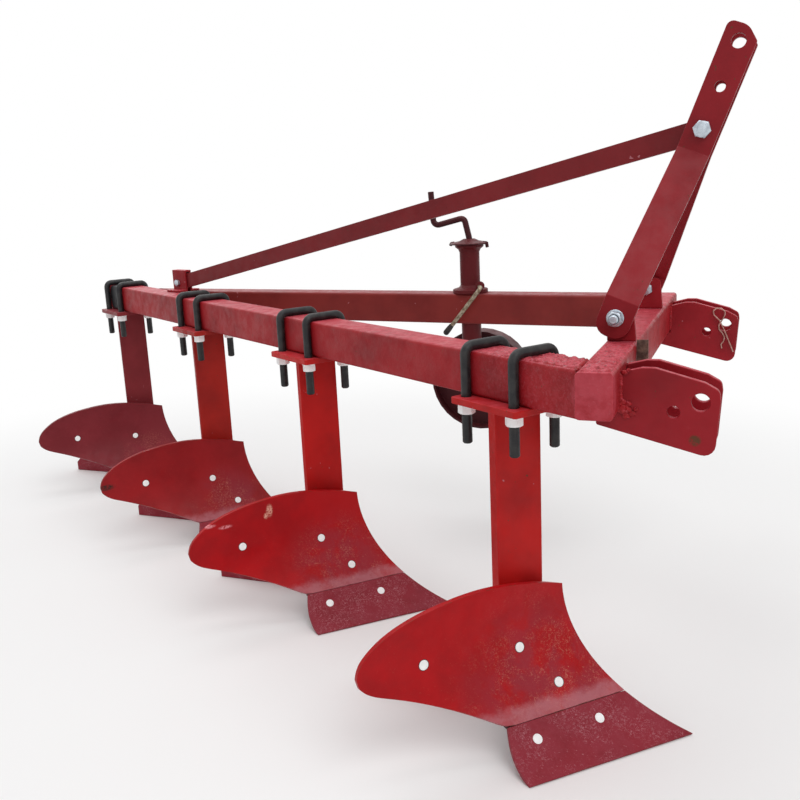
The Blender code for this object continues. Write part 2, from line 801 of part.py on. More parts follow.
def landside(name, station, paint):
    """Builds the bar that slides along the furrow wall, shaped to the share's back."""
    mesh_data = bmesh.new()
    sides = []
    for inset in (0, LAND_THICK):
        points = [(TIP_AHEAD - LAND_BACK, LAND_LEFT - inset, 0)]
        for rise in SHARE_RISES[:-1] + (SEAM_HIGH, LAND_HIGH):
            slope = math.acos(math.cos(EDGE_RAKE) - rise / GUIDE_RADIUS)
            angle = EDGE_ANGLE + TURN_PER_METRE * rise
            point = surface(inset / math.sin(angle), rise)[0]
            depth = (SHEET + 2 * WELD_GAP) / (math.sin(slope) * math.sin(angle))
            height = 0 if rise == SHARE_RISES[0] else rise
            points.append((point.x - depth, LAND_LEFT - inset, height))
        points.append((TIP_AHEAD - LAND_BACK + LAND_TAIL, LAND_LEFT - inset, LAND_HIGH))
        points.append((TIP_AHEAD - LAND_BACK, LAND_LEFT - inset, LAND_HIGH - LAND_TAIL))
        sides.append(ring(mesh_data, points))
    for verts in sides:
        fill(mesh_data, [verts])
    wall(mesh_data, sides[0], sides[1])
    return finish(name, mesh_data, body_frame(station), paint)


def bodies(paints):
    """Builds the four bodies, each with its standard, clamp bolts and soil-working pieces."""
    for name, station in BODIES:
        standard(f"{name}_standard", station, paints["red"])
        for which, ahead in (("front", BOLT_PITCH / 2), ("rear", -BOLT_PITCH / 2)):
            clamp_bolt(f"{name}_clamp_bolt_{which}", station, ahead, paints["black"])
        mouldboard(f"{name}_mouldboard", station, paints["red"])
        share_blade(f"{name}_share", station, paints["soil"])
        frog(f"{name}_frog", station, paints["dark"])
        landside(f"{name}_landside", station, paints["soil"])


def depth_column(paints):
    """Builds the sleeve through the left beam, its cap, the crank and the locking rod."""
    place = Matrix.Translation(column_middle())
    top = SLEEVE[-1][1]
    inside = ((SLEEVE_IN, top), (SLEEVE_IN, -SLEEVE_DOWN), (SLEEVE_OUT, -SLEEVE_DOWN))
    turned("depth_sleeve", inside + SLEEVE, place, paints["dark"])
    bore = SPINDLE_RADIUS + GAP
    cap = ((bore, CAP[0][1]),) + CAP + ((bore, CAP[-1][1]),)
    turned("depth_cap", cap, place @ Matrix.Translation((0, 0, top)), paints["dark"])
    crank = eased([(x, 0, z) for x, z, bend in CRANK], [bend for x, z, bend in CRANK])
    rod("depth_crank", crank, SPINDLE_RADIUS, place, paints["dark"])
    lock = eased([(x, y, z) for x, y, z, bend in LOCK], [bend for x, y, z, bend in LOCK])
    rod("depth_lock", lock, LOCK_RADIUS, place, paints["steel"])


def depth_wheel(paints):
    """Builds the sliding post, the stub axle and the wheel that sets the ploughing depth."""
    column = column_middle()
    drop = AXLE_UP - BEAM_TOP
    top = drop + BOSS_RADIUS + GAP
    post = ((0, top), (POST_RADIUS, top), (POST_RADIUS, POST_TOP), (POST_BORE, POST_TOP),
            (POST_BORE, POST_BORE_END), (0, POST_BORE_END))
    turned("depth_post", post, Matrix.Translation(column), paints["dark"])
    column.z = AXLE_UP
    hub = WHEEL_WIDE / 2
    hub_start = WHEEL_SIDE - hub - HUB_PLAY
    hub_end = WHEEL_SIDE + hub + HUB_PLAY
    axle = ((0, -BOSS_RADIUS), (BOSS_RADIUS, -BOSS_RADIUS), (BOSS_RADIUS, BOSS_RADIUS),
            (COLLAR_RADIUS, BOSS_RADIUS), (COLLAR_RADIUS, hub_start), (AXLE_RADIUS, hub_start),
            (AXLE_RADIUS, hub_end), (COLLAR_RADIUS, hub_end), (COLLAR_RADIUS, hub_end + COLLAR),
            (0, hub_end + COLLAR))
    turned("depth_axle", axle, frame(column, (0, 0, 1), (1, 0, 0)), paints["dark"])
    bore = AXLE_RADIUS + WELD_GAP
    inner = WHEEL_RADIUS - RIM
    wheel = ((bore, -hub), (HUB_RADIUS, -hub), (HUB_RADIUS, -WEB / 2), (inner, -WEB / 2), (inner, -hub),
             (WHEEL_RADIUS, -hub), (WHEEL_RADIUS, hub), (inner, hub), (inner, WEB / 2),
             (HUB_RADIUS, WEB / 2), (HUB_RADIUS, hub), (bore, hub))
    middle = frame(column + Vector((0, WHEEL_SIDE, 0)), (0, 0, 1), (1, 0, 0))
    turned("depth_wheel", wheel, middle, paints["dark"])


def build():
    """Clears the scene and builds the whole plough."""
    for old in list(bpy.data.objects):
        bpy.data.objects.remove(old, do_unlink=True)
    paints = {
        "red": material("frame_red", RED, 0.45, 0.0),
        "dark": material("shaded_red", DARK_RED, 0.50, 0.0),
        "soil": material("soil_worn_red", SOIL_RED, 0.50, 0.0),
        "black": material("clamp_black", BLACK, 0.40, 0.0),
        "steel": material("bare_steel", STEEL, 0.35, 1.0),
    }
    cross_beam(paints["red"])
    main_beam(paints["red"])
    left_beam(paints["red"])
    link_plates(paints["red"])
    for name, side in (("right", -1), ("left", 1)):
        mast_bar(f"mast_bar_{name}", side, paints["red"])
        mast_foot(f"mast_foot_{name}", side, paints["red"])
    brace(paints["red"])
    brace_bracket(paints["red"])
    bodies(paints)
    depth_column(paints)
    depth_wheel(paints)


build()
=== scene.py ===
"""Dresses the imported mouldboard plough: worn red paint, fasteners, welds and studio light.

Axes as in the part: +X forward to the tractor, +Y left, +Z up, metres.
"""

import math

import bmesh
import bpy
from mathutils import Matrix, Vector, noise


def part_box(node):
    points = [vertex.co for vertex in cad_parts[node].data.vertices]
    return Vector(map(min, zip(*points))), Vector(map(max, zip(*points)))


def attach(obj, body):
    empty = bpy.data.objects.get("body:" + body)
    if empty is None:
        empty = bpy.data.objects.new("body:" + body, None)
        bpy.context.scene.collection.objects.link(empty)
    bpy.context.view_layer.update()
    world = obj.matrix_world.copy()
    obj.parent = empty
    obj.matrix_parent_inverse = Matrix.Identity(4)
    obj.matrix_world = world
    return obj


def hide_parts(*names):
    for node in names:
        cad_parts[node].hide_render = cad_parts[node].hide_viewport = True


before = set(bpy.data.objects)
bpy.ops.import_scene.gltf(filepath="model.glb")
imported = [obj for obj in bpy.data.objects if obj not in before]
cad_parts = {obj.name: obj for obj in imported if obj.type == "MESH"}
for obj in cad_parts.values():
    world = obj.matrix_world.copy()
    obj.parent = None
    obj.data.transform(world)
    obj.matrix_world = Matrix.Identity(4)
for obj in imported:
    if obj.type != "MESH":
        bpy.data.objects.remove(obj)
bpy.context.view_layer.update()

# Directions and names from the plough's layout
UP = Vector((0, 0, 1))
LEFT = Vector((0, 1, 0))
RIGHT = Vector((0, -1, 0))
FORWARD = Vector((1, 0, 0))
MAIN_ANGLE = math.radians(33.27)
ALONG = Vector((math.cos(MAIN_ANGLE), -math.sin(MAIN_ANGLE), 0))
ACROSS = Vector((math.sin(MAIN_ANGLE), math.cos(MAIN_ANGLE), 0))
PLOUGH = "plough"

# Camera at the photograph's place
CAMERA_SPOT = Vector((1.1991, -1.9424, 0.9683))
CAMERA_YAW = math.radians(22.172)
CAMERA_PITCH = math.radians(13.027)
CAMERA_ROLL = math.radians(-2.7235)
SENSOR = 36
FOCAL_PIXELS = 916.75
PHOTO_PIXELS = 800

# Studio
LAMPS = (
    # name, place, size, watts
    ("key", (3.0, -2.6, 4.4), 2.6, 70),
    ("top", (-0.3, 0.4, 4.6), 3.6, 75),
    ("rim", (-3.4, 3.2, 2.8), 2.4, 25),
)
LAMP_AIM = Vector((0, 0, 0.4))
SKY_STRENGTH = 0.58
FLOOR_DROP = 0.0006
FLOOR_RADIUS = 40
FLOOR_SIDES = 64
FLOOR_FADE = (1.35, 2.60)

# Frame of the plough
BEAM_TOP = 0.685
BEAM_WIDE = 0.074
LEFT_BEAM_WIDE = 0.0745
COLUMN = Vector((0.4564, 0.4198, BEAM_TOP))
MAST_JOINT = Vector((1.0764, -0.0881, 1.0460))
MAST_LEAN = math.radians(21.3)
MAST_THICK = 0.012
MAST_HALF = 0.035
FOOT_BELOW = 0.3415
FOOT_HALF = 0.231
LUG_THICK = 0.010
BRACE_THICK = 0.010
BRACE_REAR = Vector((-0.5056, 0.4761, 0.7112))
BRACKET_WALL = 0.0115
RIGHT_PIN = Vector((1.1114, -0.5161, 0.6280))
LEFT_PIN = Vector((1.1114, 0.2619, 0.6280))
JOIN = Vector((0.9329, -0.5500, BEAM_TOP))

# Standard below its clamp plate
HEAD_THICK = 0.012
STEM_AHEAD = 0.011
STEM_YAW = math.radians(42)
STEM_WIDE = 0.088
STEM_THICK = 0.027

# Soil-turning surface of a body, as in the part
TIP_AHEAD = 0.361
LAND_LEFT = 0.035
LAND_BACK = 0.640
EDGE_ANGLE = math.radians(44.5)
TURN_PER_METRE = math.radians(26)
EDGE_RAKE = math.radians(26)
GUIDE_RADIUS = 0.300
SHEET = 0.008
FROG_BACK = 0.0116
BOARD_BOLTS = (
    # distance from the shin along the level line, height, thickness behind the board
    (0.3050, 0.1930, 0.0000),
    (0.1210, 0.1730, FROG_BACK),
    (0.0935, 0.1040, FROG_BACK),
    (0.0935, 0.0450, FROG_BACK),
    (0.2230, 0.0440, FROG_BACK),
)

# Colours of the paint and metal, linear
RED = (0.330, 0.009, 0.014, 1)
RED_BRIGHT = (0.500, 0.008, 0.007, 1)
# darker copies of the standards' red for the third and rear bodies: painted shade
RED_THIRD_SHADED = (0.420, 0.018, 0.012, 1)
RED_REAR_SHADED = (0.220, 0.022, 0.028, 1)
RED_BOARD = (0.440, 0.004, 0.007, 1)
# darker copies of the boards' red for the third and rear bodies: painted shade
RED_BOARD_THIRD_SHADED = (0.320, 0.012, 0.015, 1)
RED_BOARD_REAR_SHADED = (0.210, 0.022, 0.030, 1)
RED_LINK = (0.300, 0.009, 0.016, 1)
RED_LEFT = (0.230, 0.025, 0.022, 1)
RED_MAST = (0.255, 0.010, 0.016, 1)
RED_BRACE = (0.200, 0.014, 0.018, 1)
RED_SHARE = (0.260, 0.018, 0.030, 1)
# the red darkened for the depth sleeve and the lock lug: painted shade
RED_SLEEVE_IN_SHADE = (0.110, 0.008, 0.011, 1)
RED_DEEP = (0.085, 0.004, 0.006, 1)
PINK = (0.560, 0.080, 0.110, 1)
PINK_DULL = (0.380, 0.090, 0.110, 1)
PINK_PALE = (0.480, 0.190, 0.220, 1)
RUBBED = (0.270, 0.030, 0.046, 1)
DUST = (0.560, 0.170, 0.120, 1)
SCAR = (0.720, 0.360, 0.270, 1)
CHIP = (0.800, 0.290, 0.320, 1)
# a dark mark near the third board's tail
DARK_MARK = (0.030, 0.018, 0.014, 1)
# the red darkened for the column's cap, crank, post and axle, the wheel, the frogs and the cap ears: painted
# shade
RED_IN_SHADE = (0.055, 0.007, 0.010, 1)
RED_IN_SHADE_WORN = (0.150, 0.030, 0.034, 1)
RED_IN_SHADE_DEEP = (0.018, 0.006, 0.008, 1)
RUST = (0.110, 0.040, 0.020, 1)
BLACK = (0.009, 0.009, 0.011, 1)
BLACK_WORN = (0.026, 0.025, 0.025, 1)
STUD_WORN = (0.040, 0.034, 0.030, 1)
BARE = (0.420, 0.370, 0.280, 1)
BARE_DULL = (0.170, 0.120, 0.075, 1)
ZINC = (0.560, 0.620, 0.680, 1)
ZINC_DULL = (0.360, 0.400, 0.450, 1)
WHITE_PAINTED_REFLECTION = (0.970, 0.970, 0.970, 1)
WHITE_DULL = (0.900, 0.900, 0.900, 1)
WIRE = (0.520, 0.290, 0.250, 1)
WIRE_DULL = (0.300, 0.150, 0.120, 1)
TAB_RUST = (0.060, 0.030, 0.022, 1)
TAB_DULL = (0.180, 0.110, 0.080, 1)
PAPER = (0.900, 0.900, 0.900, 1)
WHITE = (1, 1, 1, 1)

PAINTS = (
    # look, colour, scuffs, least painted highlight on faces towards the sky, colour of the wear and of the
    # painted highlight, deep colour
    ("stem", RED_BRIGHT, 0.12, 0.15, PINK, RED_DEEP),
    # the third and rear standards: darker copies of the same paint, painted shade
    ("stem_worn", RED_THIRD_SHADED, 0.20, 0.15, PINK, RED_DEEP),
    ("stem_dull", RED_REAR_SHADED, 0.14, 0.15, PINK_DULL, RED_DEEP),
    ("left", RED_LEFT, 0.16, 0.20, PINK_DULL, RED_DEEP),
    ("mast", RED_MAST, 0.18, 0.09, PINK, RED_DEEP),
    ("brace", RED_BRACE, 0.14, 0.15, PINK_DULL, RED_DEEP),
    ("link", RED_LINK, 0.26, 0.40, PINK, RED_DEEP),
    # the next two looks are the red paint darkened as painted shade
    ("dark", RED_IN_SHADE, 0.50, 0.40, RED_IN_SHADE_WORN, RED_IN_SHADE_DEEP),
    ("sleeve", RED_SLEEVE_IN_SHADE, 0.40, 0.40, RED_IN_SHADE_WORN, RED_DEEP),
)
METALS = (
    # look, colour, dull film, roughness from and to, metallic, grains a metre, gloss level
    ("black", BLACK, BLACK_WORN, (0.34, 0.54), 0.0, 55, 0.35),
    ("stud", BLACK, STUD_WORN, (0.34, 0.54), 0.0, 90, 0.30),
    # white: flat non-metallic white standing for the sky's reflection on zinc, a painted reflection
    ("white", WHITE_PAINTED_REFLECTION, WHITE_DULL, (0.40, 0.55), 0.0, 70, 0.50),
    ("zinc", ZINC, ZINC_DULL, (0.30, 0.46), 0.85, 90, 0.50),
    ("bare", BARE, BARE_DULL, (0.34, 0.58), 0.80, 90, 0.50),
    ("wire", WIRE, WIRE_DULL, (0.30, 0.50), 0.60, 90, 0.50),
    ("tab", TAB_RUST, TAB_DULL, (0.50, 0.80), 0.20, 90, 0.50),
)

# Patterns of noise in the paint: each goes from start to end as its noise goes from low to high
PATTERNS = {
    # features a metre, detail, roughness, warp, low, high, start, end
    "blotch": (7, 5, 0.6, 0, 0.38, 0.72, 0, 0.4),
    # mottling of the painted highlight on faces towards the sky
    "top_highlight": (55, 8, 0.72, 0, 0.36, 0.66, 0, 0.35),
    "scuff": (60, 8, 0.75, 0.6, 0.62, 0.74, 0, 1),
    "edge": (38, 5, 0.7, 0, 0.44, 0.6, 0, 0.55),
    "flake": (48, 3, 0.6, 0.5, 0.715, 0.735, 0, 0.8),
    "speck": (120, 3, 0.6, 0, 0.7, 0.73, 0, 1),
    "torn": (150, 5, 0.7, 0, 0.4, 0.52, 0, 1),
    "rough": (35, 6, 0.6, 0, 0.3, 0.72, 0.36, 0.6),
    "beam_blotch": (8, 5, 0.6, 0, 0.36, 0.7, 0, 0.45),
    # mottling of the painted highlight on the beams' tops
    "beam_top_highlight": (60, 8, 0.74, 0, 0.38, 0.64, 0, 0.5),
    "beam_crest_highlight": (170, 3, 0.6, 0.4, 0.56, 0.66, 0, 0.75),
    "beam_edge": (36, 5, 0.7, 0, 0.4, 0.58, 0, 0.7),
    "beam_speck": (120, 3, 0.6, 0, 0.69, 0.72, 0, 1),
    "beam_end": (30, 5, 0.6, 0, 0.3, 0.6, 0.22, 0.5),
    "beam_rough": (35, 6, 0.6, 0, 0.3, 0.72, 0.38, 0.62),
    "soil_blotch": (9, 6, 0.62, 0, 0.36, 0.66, 0, 0.3),
    "soil_cloud": (14, 6, 0.66, 0.4, 0.34, 0.6, 0, 1),
    "soil_speck": (250, 6, 0.75, 1.2, 0.51, 0.62, 0, 1),
    "soil_patch": (17, 5, 0.65, 0, 0.43, 0.57, 0.1, 1),
    "soil_run": (6, 3, 0.5, 0, 0.42, 0.6, 0, 0.6),
    "soil_seam": (24, 5, 0.7, 0, 0.3, 0.56, 0.27, 0.6),
    "soil_torn": (260, 5, 0.75, 0.6, 0.42, 0.52, 0, 1),
    "soil_chip": (40, 5, 0.7, 0, 0.5, 0.6, 0, 1),
    "soil_rough": (40, 6, 0.6, 0, 0.3, 0.7, 0.32, 0.54),
    "weld_blotch": (90, 5, 0.7, 0, 0.4, 0.62, 0, 0.45),
    "weld_spatter": (150, 4, 0.6, 0, 0.54, 0.66, 0, 0.6),
    "weld_rough": (60, 4, 0.6, 0, 0.3, 0.7, 0.36, 0.6),
}
GRAINS = {
    # layers of relief: features a metre, detail, roughness, share
    "brushed": (160, 4, 0.5, 0.35),
    "lumpy": (22, 5, 0.6, 0.65),
    "beam": (150, 5, 0.6, 0.1),
    "soil": (150, 5, 0.6, 0.4),
    "ragged": (22, 5, 0.7, 0.03),
}

# Where the paint wears, and where painted highlights and painted shade go: bands of a value, reaches and
# spots
# which faces count as facing the sky, for the painted highlights
SKY_BAND = (0.60, 0.98)
EDGE_BAND = (0.97, 0.80)
EDGE_REACH = 0.0022
BEAM_EDGE_REACH = 0.0024
SOIL_EDGE_REACH = 0.0030
SCRATCH_LAY = ((0.2, 0.5, math.radians(48)), (1.5, 34, 34))
SEAM_BAND = (0.109, 0.093)
# painted shade: a dark brown patch at the small hole below the right pin, laid in the rust colour
HOLE_SHADE_SPOTS = {
    # look: (spot, full within, gone beyond)
    "link": ((RIGHT_PIN + Vector((-0.007, 0, -0.060)), 0.006, 0.011),),
}
# reach of the crust's painted highlights, painted shade and bump around the front joint
JOIN_REACH = (0.100, 0.360)
BLACK_REACH = (0.0666, 0.0740)
END_SPOT = (0.9620, -0.5900, 0.6480)
END_REACH = (0.040, 0.050)

BODY_TABLE = (
    # body, its standard's look, its board's paint, how far the rubbed paint reaches
    ("front", "stem", RED_BOARD, 0.230),
    ("second", "stem", RED_BOARD, 0.170),
    # the third and rear bodies take darker copies of the paint: painted shade
    ("third", "stem_worn", RED_BOARD_THIRD_SHADED, 0.140),
    ("rear", "stem_dull", RED_BOARD_REAR_SHADED, 0.120),
)
BOARD_MARKS = {
    # body: (spot in the plough's axes, full within, gone beyond, squeeze by axis, colour)
    "second": (((0.1607, -0.2172, 0.2640), 0.006, 0.015, (1.5, 1.5, 0.75), SCAR),
               ((0.1540, -0.2245, 0.2520), 0.003, 0.010, (1.5, 1.5, 1.0), SCAR),
               ((0.0700, -0.3290, 0.2560), 0.003, 0.010, (0.5, 0.5, 1.8), CHIP),
               ((0.0930, -0.2990, 0.2470), 0.003, 0.010, (0.5, 0.5, 1.8), CHIP)),
    "third": (((-0.4722, -0.0131, 0.2000), 0.006, 0.018, (0.6, 0.6, 1.6), DARK_MARK),),
}
RUB_SPOT = (0.120, 0.095)
RUB_CORE = 0.040
ALL_OVER = (5, 6)

FLAT_NODES = (
    # look, slot name, body, CAD nodes
    ("beam", "frame_red", PLOUGH, ("cross_beam", "main_beam")),
    ("left", "frame_red", PLOUGH, ("left_beam",)),
    ("link", "frame_red", PLOUGH, ("brace_bracket",)),
    ("brace", "frame_red", PLOUGH, ("mast_brace",)),
    ("mast", "frame_red", PLOUGH, ("mast_bar_right", "mast_bar_left")),
    ("link", "frame_red", PLOUGH, ("mast_foot_right", "mast_foot_left",
                                   "right_link_plate_right", "right_link_plate_left",
                                   "left_link_plate_right", "left_link_plate_left")),
    ("sleeve", "shaded_red", PLOUGH, ("depth_sleeve",)),
    ("dark", "shaded_red", PLOUGH, ("depth_cap", "depth_crank")),
    ("bare", "bare_steel", PLOUGH, ("depth_lock",)),
    ("dark", "shaded_red", "depth_leg", ("depth_post", "depth_axle")),
    ("dark", "shaded_red", "gauge_wheel", ("depth_wheel",)),
)

# Fasteners: rods by radius, nuts and heads by (across flats, height), washers by (radius, height)
CLAMP_ROD = 0.009
CLAMP_SIDE = 0.0463
CLAMP_BEND = 0.016
CLAMP_NUT = (0.027, 0.016)
CLAMP_WASHER = (0.0165, 0.003)
FRAME_ROD = 0.008
FRAME_NUT = (0.024, 0.013)
FRAME_HEAD = (0.024, 0.010)
FRAME_WASHER = (0.0155, 0.0025)
FOOT_THREAD = 0.007
SHORT_THREAD = 0.006
MAST_HEAD = (0.029, 0.012)
SPACER = 0.013
BRACKET_ROD = 0.006
BRACKET_HEAD = (0.019, 0.008)
BRACKET_NUT = (0.019, 0.010)
BOARD_NUT = (0.017, 0.0085)
BOARD_ROD = 0.005
BOARD_THREAD = 0.008
HEAD_PROFILE = (
    # flat head of a board bolt: height above the board, radius
    (-0.0015, 0.0068), (0.0003, 0.0088), (0.0009, 0.0084), (0.0012, 0.0076), (0.0013, 0.0044),
)
SHADE_RIM_PROFILE = (
    # dark ring round the head: painted shade in the gap of its hole
    (-0.0010, 0.0085), (0.0003, 0.0099), (0.0004, 0.0086), (-0.0010, 0.0072),
)

# Forms of nuts, washers and threads, mostly as shares of their size
CHAMFER_SHARES = (0, 0.35, 0.7, 1)
CHAMFER_FLAT = 0.95
CHAMFER_SLOPE = 0.58
NUT_MOUTH = 0.05
RIM_EASE = 0.25
THREAD_PITCH = 0.0025
THREAD_DEEP = 0.0009
THREAD_CREST = 0.25
THREAD_ROOT = 0.75
FINE_GAP = 0.0002

# Turns of nuts and heads about their bolts, so that no two stand alike
BODY_NUT_TURN = 0.4
CLAMP_TURN = 0.7
CLAMP_LEG_TURN = 0.5
FOOT_NUT_TURN = 0.25
FOOT_HEAD_TURN = 0.10
MAST_HEAD_TURN = 0.30
BRACKET_TURN = 0.20

# Weld beads: their radii, the gaps at their ends, and how they ripple, wander and swell
WELD_STEP = 0.0016
WELD_RIPPLE = 3.2
RIPPLE_HIGH = 0.08
WANDER = 0.30
WANDER_PACE = 0.31
WANDER_LANES = (0.1, 5.3, 9.7)
SWELL = 0.30
SWELL_PACE = 0.17
SWELL_LANE = 3.3
WELD_START = 0.35
WELD_GROWTH = 0.20
WELD_SUNK = 0.0012
HEAD_BEAD = 0.0036
HEAD_SEED = 20
PLATE_BEAD = 0.0042
PLATE_BEAD_ENDS = (0.006, 0.014)
UNDER_BEAD = 0.0038
UNDER_BEAD_ENDS = (0.022, 0.002)
TOP_BEAD = 0.0034
TOP_BEAD_END = 0.004
SIDE_BEAD = 0.0036
SIDE_BEAD_ENDS = (0.002, 0.005)

# Crust on the beams' tops at the front joint, and lumps of weld by the link plate
COAT_STEP = 0.0015
COAT_THICK = 0.0042
COAT_LEAST = 0.06
COAT_MIDDLE = 0.40
COAT_COARSE = (0.70, 95)
COAT_FINE = (0.40, 230)
COAT_FADE = 1.35
COAT_SUNK = 0.0016
COAT_INSET = 0.0035
COAT_END = 0.006
CROSS_COAT = 0.300
MAIN_COAT = 0.260
LUMP_SHAPE = (1, 0.45, 0.85)
LUMP_SWELL = 0.35
LUMP_PACE = 1.7
LUMP_OUT = 0.001
SPATTER = (
    # ahead of the cross beam, above its underside, size
    (0.003, 0.004, 0.0085),
    (0.011, 0.003, 0.0070),
    (0.018, -0.003, 0.0058),
    (0.009, -0.006, 0.0066),
    (0.002, 0.015, 0.0064),
    (0.013, 0.012, 0.0050),
    (0.024, 0.004, 0.0040),
    (0.006, 0.062, 0.0046),
    (0.013, 0.066, 0.0036),
)

# Wire clip, from the left pin hole: ahead and up in millimetres, outside and inside its crossing
MILLIMETRE = 0.001
CLIP_OUTER = ((20, -61), (-1, -10), (-12, 12), (-24, 24), (-26, 33), (-19, 39), (-9, 39), (-1, 33), (0, 25))
CLIP_INNER = ((-6, 12), (-13, 0), (-12, -10), (-5, -18), (0, -27), (-1, -36), (-7, -44), (-5, -54))
CLIP_SIDES = ((CLIP_OUTER, 5.44), (CLIP_INNER, 1.92))
CLIP_WIRE = 0.0016
CLIP_BEND = 0.003

# Small pieces of the cross beam and the depth column
TAB = Vector((0.9912, -0.3290, 0.6540))
TAB_SIZE = (0.020, 0.003, 0.038)
TAB_EASE = 0.0008
LUG_SPOT = COLUMN + Vector((0.0370, -0.0290, 0.0215))
LUG_PROFILE = ((0, 0.0100), (0.001, 0.0115), (0.007, 0.0115), (0.008, 0.0100))
GRIP_PROFILE = ((-0.0020, 0.0040), (0, 0.0066), (0.004, 0.0078), (0.018, 0.0076), (0.030, 0.0062))
LOCK_TIP = Vector((0.0040, 0.0050, 0.0045))
LOCK_KNEE = COLUMN + Vector((0.0460, -0.0560, 0.0186))
EAR_ROD = 0.0045
EAR_BEND = 0.003
EARS = (
    # each ear's points: ahead of the column, above the cap's underside
    ((0.0392, 0.0040), (0.0490, 0.0030), (0.05096, -0.0090)),
    ((-0.0392, 0.0040), (-0.0490, 0.0030), (-0.05096, -0.0030)),
)
EAR_RIGHT = 0.004

# Finish of the meshes
JOIN_WITHIN = 0.00001
FLAT_WITHIN = math.radians(1)
EDGE_OVER = math.radians(35)
CREASE_OVER = math.radians(40)
QUAD_WITHIN = math.radians(25)
FLAT_EASE = 0.0014
BOARD_EASE = 0.0012
SHARE_EASE = 0.0006
FROG_EASE = 0.0008


def put(tree, value, socket):
    """Links an output to an input, or writes a constant in it."""
    if isinstance(value, bpy.types.NodeSocket):
        tree.links.new(value, socket)
    else:
        socket.default_value = value


def add_node(tree, kind, **values):
    """Adds a node, with a link or a constant for each input that is named."""
    node = tree.nodes.new(f"ShaderNode{kind}")
    for name, value in values.items():
        put(tree, value, node.inputs[name.replace("_", " ")])
    return node


class Nodes:
    """A material's node tree, written the short way; its colour is built up coat by coat."""

    def __init__(self, name, base):
        self.material = bpy.data.materials.new(name)
        self.material.use_nodes = True
        self.tree = self.material.node_tree
        self.shader = self.tree.nodes["Principled BSDF"]
        self.place = self.node("TexCoord").outputs["Object"]
        self.colour = base

    def node(self, kind, **values):
        """Adds a node to the tree."""
        return add_node(self.tree, kind, **values)

    def set(self, socket, value):
        """Gives one of the shader's own sockets a constant or a link."""
        put(self.tree, value, self.shader.inputs[socket])

    def noise(self, scale, detail, rough, warp=0, stretch=None):
        """Returns a noise value at so many features a metre."""
        node = self.node("TexNoise", Scale=scale, Detail=detail, Roughness=rough, Distortion=warp,
                         Vector=self.stretched(stretch))
        return node.outputs["Fac"]

    def stretched(self, stretch):
        """Returns the object's coordinates, turned and stretched where asked."""
        if stretch is None:
            return self.place
        turn, scale = stretch
        return self.node("Mapping", Vector=self.place, Rotation=turn, Scale=scale).outputs["Vector"]

    def band(self, value, low, high, start=0, end=1):
        """Returns start to end as the value goes from low to high."""
        node = self.node("MapRange", Value=value, From_Min=low, From_Max=high, To_Min=start, To_Max=end)
        node.interpolation_type = "SMOOTHSTEP"
        return node.outputs["Result"]

    def pattern(self, name):
        """Returns one of the patterns of noise."""
        *grain, low, high, start, end = PATTERNS[name]
        return self.band(self.noise(*grain), low, high, start, end)

    def grain(self, name):
        """Returns one of the layers of relief."""
        *grain, share = GRAINS[name]
        return self.both(self.noise(*grain), share)

    def maths(self, kind, first, second):
        """Returns a sum, product or other result of two values, kept from 0 to 1."""
        node = self.node("Math")
        node.operation = kind
        node.use_clamp = True
        put(self.tree, first, node.inputs[0])
        put(self.tree, second, node.inputs[1])
        return node.outputs["Value"]

    def both(self, first, second):
        """Returns the product of two values."""
        return self.maths("MULTIPLY", first, second)

    def vectors(self, kind, first, second=(0, 0, 0)):
        """Returns the outputs of a sum or other result of two vectors."""
        node = self.node("VectorMath")
        node.operation = kind
        put(self.tree, first, node.inputs[0])
        put(self.tree, second, node.inputs[1])
        return node.outputs

    def coat(self, mask, colour):
        """Lays a colour over what is there, as far as the mask goes."""
        node = self.node("Mix")
        node.data_type = "RGBA"
        under, over = [each for each in node.inputs if each.type == "RGBA"]
        for value, socket in ((mask, node.inputs["Factor"]), (self.colour, under), (colour, over)):
            put(self.tree, value, socket)
        self.colour = [each for each in node.outputs if each.type == "RGBA"][0]

    def height_of(self, vector):
        """Returns a vector's upward part."""
        return self.node("SeparateXYZ", Vector=vector).outputs["Z"]

    def upward(self):
        """Returns 1 where the surface faces the sky, and 0 on its sides."""
        normal = self.node("NewGeometry").outputs["Normal"]
        return self.band(self.height_of(normal), *SKY_BAND)

    def near(self, spot, inner, outer, squeeze=(1, 1, 1)):
        """Returns 1 within a distance of a spot, and 0 beyond a larger one; squeeze narrows it by axis."""
        apart = self.vectors("SUBTRACT", self.place, spot)["Vector"]
        squeezed = self.vectors("MULTIPLY", apart, squeeze)["Vector"]
        return self.band(self.vectors("LENGTH", squeezed)["Value"], outer, inner)

    def edges(self, reach):
        """Returns 1 on edges, where the rounded normal leaves the true one."""
        bevel = self.node("Bevel", Radius=reach)
        bevel.samples = 4
        normal = self.node("NewGeometry").outputs["Normal"]
        return self.band(self.vectors("DOT_PRODUCT", bevel.outputs["Normal"], normal)["Value"], *EDGE_BAND)

    def finish(self, rough, gloss):
        """Gives the shader its colour, roughness and gloss level."""
        self.set("Base Color", self.colour)
        self.set("Roughness", rough)
        self.set("Specular IOR Level", gloss)

    def bump(self, height, strength, distance):
        """Roughens the surface by a height value."""
        node = self.node("Bump", Strength=strength, Distance=distance, Height=height)
        self.set("Normal", node.outputs["Normal"])


